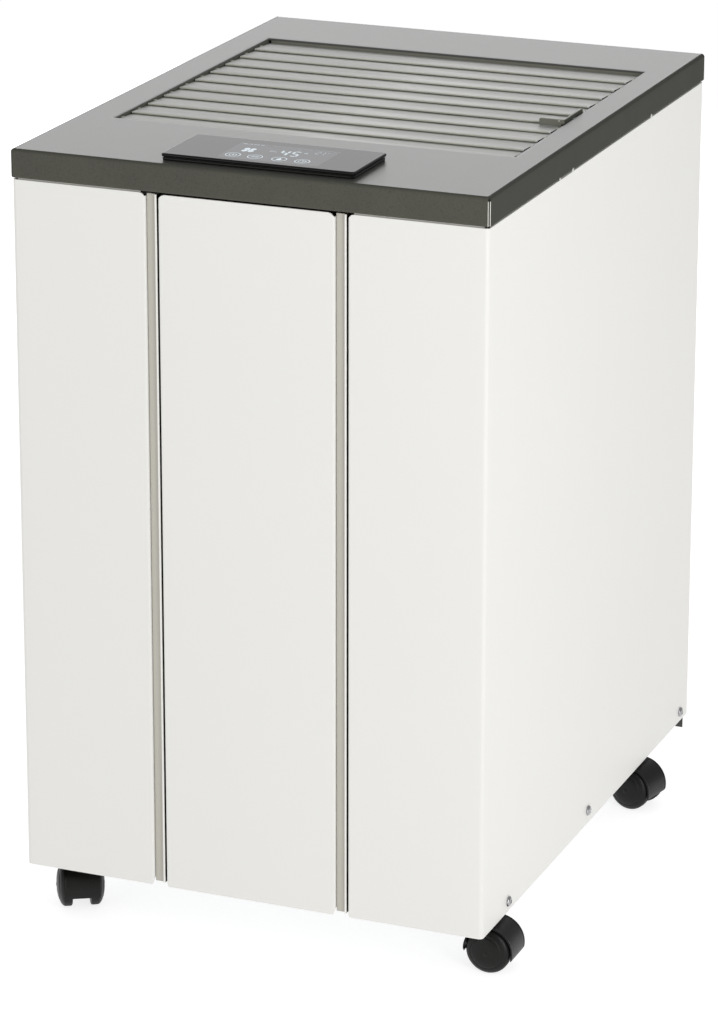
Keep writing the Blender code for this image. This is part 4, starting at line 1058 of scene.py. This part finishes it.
for tag, sx, cy, ang in CASTERS:
    base = at(sx * 151.0, cy, 0.0, Matrix.Rotation(math.radians(ang), 4, "Z"))
    axle = base @ Matrix.Translation((15.0, 0, 16.0)) @ ROT_Y
    prof = wheel_profile()
    full = prof + [(r, -h) for r, h in prof[::-1]]
    bm = bmesh.new()
    lathe(bm, full, 64, axle, 0)
    inv = axle.inverted()
    for f in bm.faces:
        c = inv @ f.calc_center_median()
        if math.hypot(c.x, c.y) > 15.3 and 6.9 < abs(c.z) < 12.2:
            f.material_index = 1
    obj_from("wheel_pair_" + tag, bm, ["caster", "tread"], "wheels_" + tag, ["caster_wheels_" + tag], smooth=40)

    # hood: wrapped shell with rolled rims, web down to the axle and swivel boss
    zc, ro, ri, hw = 16.0, 18.02, 17.0, 13.0
    bm = bmesh.new()
    a0, a1, n = -16.0, 186.0, 36
    rings = []
    for k in range(n + 1):
        a = math.radians(a0 + (a1 - a0) * k / n)
        ends = min(k, n - k)
        cu, su = math.cos(a), math.sin(a)
        sec_ = []
        e = 0.35 if ends > 0 else 0.75
        for w, r in ((-hw, ri + 0.35), (-hw, ro - 0.4), (-hw + 0.4, ro - 0.05), (-hw + 2.5, ro), (-hw * 0.4, ro + 0.0), (0.0, ro + 0.0),
                     (hw * 0.4, ro), (hw - 2.5, ro), (hw - 0.4, ro - 0.05), (hw, ro - 0.4), (hw, ri + 0.35), (hw - 0.35, ri),
                     (hw * 0.4, ri), (-hw * 0.4, ri), (-hw + 0.35, ri)):
            rr = r if ends > 0 else (ri + ro) / 2 + (r - (ri + ro) / 2) * 0.5
            sec_.append(tuple(base @ Vector((15.0 + rr * cu, w, zc + rr * su))))
        rings.append(sec_)
    loft(bm, rings)
    # raised rim ribs on both open edges of the hood
    for w0, w1 in ((-hw, -hw + 1.6), (hw - 1.6, hw)):
        rings = []
        for k in range(n + 1):
            a = math.radians(a0 + 4 + (a1 - a0 - 8) * k / n)
            cu, su = math.cos(a), math.sin(a)
            rings.append([tuple(base @ Vector((15.0 + r * cu, w, zc + r * su))) for w, r in
                          ((w0, ri + 0.3), (w0, ro + 0.02), (w0 + 0.3, ro + 0.14), (w1 - 0.3, ro + 0.14), (w1, ro + 0.02), (w1, ri + 0.3))])
        loft(bm, rings)
    web = [(15.0 + 17.3 * math.cos(math.radians(a)), zc + 17.3 * math.sin(math.radians(a))) for a in range(0, 181, 12)]
    web += [(15.0 - 5.0, zc - 4.5), (15.0 - 2.5, zc - 6.2), (15.0 + 2.5, zc - 6.2), (15.0 + 5.0, zc - 4.5)]
    loft(bm, [[tuple(base @ Vector((u, w, z))) for u, z in web] for w in (-3.6, -3.2, 3.2, 3.6)])
    lathe(bm, [(4.0, 26.4), (4.0, 35.5), (5.4, 35.5), (5.8, 35.1), (5.8, 24.4), (5.2, 23.2), (4.4, 23.0), (4.0, 23.4)], 28, base, close=True)
    tool = bmesh.new()
    lathe(tool, [(0, 26.2), (3.97, 26.2), (3.97, 37.5), (0, 37.5)], 28, base)
    lathe(tool, [(0, -4.6), (2.1, -4.6), (2.1, 4.6), (0, 4.6)], 24, axle)
    bm = bored(bm, tool)
    obj_from("hood_" + tag, bm, ["caster"], "fork_" + tag, ["caster_hood_" + tag], smooth=38)

    # stem with its flange and a snap ring
    bm = bmesh.new()
    lathe(bm, [(0, 26.9), (3.2, 26.9), (3.6, 27.4), (3.6, 35.9), (10.1, 35.9), (10.5, 36.2), (10.5, 37.4), (10.1, 37.7), (4.1, 37.7),
               (4.1, 43.0), (3.7, 43.2), (3.7, 44.2), (4.1, 44.4), (4.1, 48.4), (3.5, 49.0), (0, 49.0)], 32, at(sx * 151.0, cy, 0))
    obj_from("stem_" + tag, bm, ["zinc"], "cabinet", ["caster_stem_" + tag], smooth=35)


# ---------------------------------------------------------------- CAD nodes that stay, with their own finish
def keep(node, mat, width=0.0, segs=2, angle=35):
    ob = NODES[node]
    ob.data.materials.clear()
    ob.data.materials.append(M[mat])
    w = ob.modifiers.new("weld", "WELD")
    w.merge_threshold = 0.00001
    if width:
        bevel(ob, width, segs, angle)
    return ob


keep("control_board", "board", 0.2)
keep("base_pan", "galv")
for s in ("left", "right"):
    keep("chassis_rail_" + s, "galv", 0.2)
    keep("tank_bay_wall_" + s, "galv", 0.2)
keep("mid_deck", "galv")
keep("cover_bracket", "galv", 0.3)
keep("tank_handle", "handle", 1.1, 4)
keep("float_arm", "float", 1.5, 4)
keep("evaporator_coil", "alu")
keep("condenser_coil", "alu")
keep("drip_tray", "fanlight", 0.4)
keep("compressor", "enamel", 0.8, 3)
keep("accumulator", "copper", 0.8, 3)
keep("suction_pipe", "copper")
keep("discharge_pipe", "copper")
keep("fan_housing", "fanlight")
keep("fan_impeller", "fan")
keep("fan_motor", "motor", 0.6, 3)
keep("run_capacitor", "alu", 0.6, 3)
keep("drain_spigot", "black", 0.3)
keep("power_inlet", "black", 0.4, 3)
keep("back_panel", "back", 0.3)
keep("filter_cassette", "mesh", 0.5, 2)

# filter: mesh screen behind the slats, finger pull
fx, fz0, fz1 = 121.0, 276.0, 505.0
bm = bmesh.new()
box(bm, -118.6, -2.2, 220.6, 221.2, fz0, fz1)
box(bm, 2.2, 118.6, 220.6, 221.2, fz0, fz1)
obj_from("filter_screen", bm, ["screen"], "filter", smooth=0)
bm = bmesh.new()
pts = [(-16, 507.2), (16, 507.2), (14.5, 510.6), (-14.5, 510.6)]
loft(bm, [[(x, 227.7, z) for x, z in pts], [(x, 227.95, z) for x, z in pts]])
bevel(obj_from("filter_pull", bm, ["black"], "filter", smooth=0), 0.1, 2)

# mains inlet pins
bm = bmesh.new()
for dx, dz in ((0, 3.2), (-6.4, -2.2), (6.4, -2.2)):
    box(bm, -120.0 + dx - 0.9, -120.0 + dx + 0.9, 209.8, 223.5, 74 + dz - 1.9, 74 + dz + 1.9)
bevel(obj_from("inlet_pins", bm, ["chrome"], "cabinet", smooth=0), 0.4, 2)

# water tank: walls with rounded corners, rolled rim, moulded ribs and a level mark
TX, TY0, TY1, TZ0, TZ1 = 56.0, -213.6, 76.0, 42.0, 196.0


def trect(d, z, r):
    return rrect(-TX + d, TX - d, TY0 + d, TY1 - d, r, z, 8)


bm = bmesh.new()
loft(bm, [trect(4.0, TZ0, 5.0), trect(1.6, TZ0 + 0.6, 6.6), trect(0.5, TZ0 + 1.8, 7.6), trect(0.0, TZ0 + 3.4, 8.0), trect(0.0, TZ1 - 9, 8.0),
          trect(-1.2, TZ1 - 8.2, 9.0), trect(-1.8, TZ1 - 7.2, 9.4), trect(-1.8, TZ1 - 0.8, 9.4), trect(-1.2, TZ1, 9.0), trect(-0.2, TZ1, 8.0),
          trect(0.6, TZ1 - 0.6, 7.4), trect(1.2, TZ1 - 6.8, 7.0), trect(2.0, TZ1 - 8.6, 6.0), trect(2.0, TZ0 + 5.4, 6.0), trect(2.6, TZ0 + 3.6, 5.4),
          trect(4.0, TZ0 + 2.8, 4.6), trect(6.0, TZ0 + 2.6, 4.0)])
ob = obj_from("tank_shell", bm, ["tank"], "drawer", ["water_tank"], smooth=40)
bm = bmesh.new()
for sd in (1, -1):
    for y in (-170, -110, -50, 10, 56):
        a, b = sorted((sd * (TX - 0.1), sd * (TX + 0.9)))
        box(bm, a, b, y - 1.2, y + 1.2, TZ0 + 14, TZ1 - 14)
    for k in range(5):
        a, b = sorted((sd * (TX - 0.1), sd * (TX + 0.5)))
        box(bm, a, b, -206, -206 + (14 if k == 4 else 8), 70 + 25 * k, 71 + 25 * k)
bevel(obj_from("tank_ribs", bm, ["tank"], "drawer", smooth=0), 0.3, 2)

# ---------------------------------------------------------------- floor, light, camera
bm = bmesh.new()
S = 40000.0
v = [bm.verts.new((x, y, 0)) for x, y in ((-S, -S), (S, -S), (S, S), (-S, S))]
bm.faces.new(v)
for q in bm.verts:
    q.co *= MM
me = bpy.data.meshes.new("floor")
bm.to_mesh(me)
bm.free()
floor = bpy.data.objects.new("floor", me)
bpy.context.scene.collection.objects.link(floor)
m, nt, p = nodes_of("floor_white")
fn = noise(nt, 3.0, 2.0)
nt.links.new(ramp(nt, fn, [(0.3, (0.49, 0.49, 0.49)), (0.7, (0.51, 0.51, 0.51))]), p.inputs["Base Color"])
p.inputs["Roughness"].default_value = 0.9
p.inputs["Specular IOR Level"].default_value = 0.0
p.inputs["Emission Color"].default_value = (1, 1, 1, 1)
p.inputs["Emission Strength"].default_value = 0.78
me.materials.append(m)

world = bpy.data.worlds.new("studio")
bpy.context.scene.world = world
world.use_nodes = True
wt = world.node_tree
bg = wt.nodes["Background"]
bg.inputs["Color"].default_value = (1.0, 1.0, 1.0, 1)
bg.inputs["Strength"].default_value = WORLD
bg2 = wt.nodes.new("ShaderNodeBackground")
bg2.inputs["Color"].default_value = (1.0, 1.0, 1.0, 1)
bg2.inputs["Strength"].default_value = 1.02
lp = wt.nodes.new("ShaderNodeLightPath")
ms = wt.nodes.new("ShaderNodeMixShader")
wt.links.new(lp.outputs["Is Camera Ray"], ms.inputs[0])
wt.links.new(bg.outputs[0], ms.inputs[1])
wt.links.new(bg2.outputs[0], ms.inputs[2])
wt.links.new(ms.outputs[0], wt.nodes["World Output"].inputs["Surface"])


def area(name, loc, target, sx, sy, power, color=(1, 1, 1)):
    ld = bpy.data.lights.new(name, "AREA")
    ld.shape = "RECTANGLE"
    ld.size, ld.size_y = sx, sy
    ld.energy = power
    ld.color = color
    ob = bpy.data.objects.new(name, ld)
    bpy.context.scene.collection.objects.link(ob)
    ob.location = loc
    d = Vector(target) - Vector(loc)
    ob.rotation_euler = d.to_track_quat("-Z", "Y").to_euler()
    ob.visible_camera = False
    return ob


def panel(name, loc, target, sx, sy, radiance):
    return area(name, loc, target, sx, sy, radiance * math.pi * sx * sy)


panel("softbox_back", (-1.15, 2.3, 1.15), (-1.15, 0.0, 1.15), 2.8, 2.2, 1.68)
panel("softbox_key", (1.18, -0.98, 0.62), (0.172, -0.20, 0.32), 0.30, 1.3, 6.2)
panel("softbox_fill", (-1.1, -2.3, 0.55), (-0.05, -0.2, 0.25), 1.4, 1.3, 1.05)

cam_data = bpy.data.cameras.new("camera")
cam = bpy.data.objects.new("camera", cam_data)
bpy.context.scene.collection.objects.link(cam)
bpy.context.scene.camera = cam
AZ, EL, ROLL = math.radians(22.061246), math.radians(16.820392), 0.001029
fwd = Vector((-math.sin(AZ) * math.cos(EL), math.cos(AZ) * math.cos(EL), -math.sin(EL)))
right = fwd.cross(Vector((0, 0, 1))).normalized()
up = right.cross(fwd)
r2 = right * math.cos(ROLL) + up * math.sin(ROLL)
u2 = -right * math.sin(ROLL) + up * math.cos(ROLL)
mw = Matrix((r2, u2, -fwd)).transposed().to_4x4()
mw.translation = Vector((1.091179, -2.719681, 1.251625))
cam.matrix_world = mw
cam_data.sensor_width = 36.0
cam_data.sensor_fit = "AUTO"
cam_data.lens = 149.59034
cam_data.shift_x = 0.0
cam_data.shift_y = -0.1484375
cam_data.clip_start = 0.05
cam_data.clip_end = 200.0
cam_data.dof.use_dof = False

bpy.context.scene.view_settings.view_transform = "Standard"
bpy.context.scene.view_settings.look = "None"
bpy.context.scene.view_settings.exposure = 0.0
bpy.context.scene.view_settings.gamma = 1.0
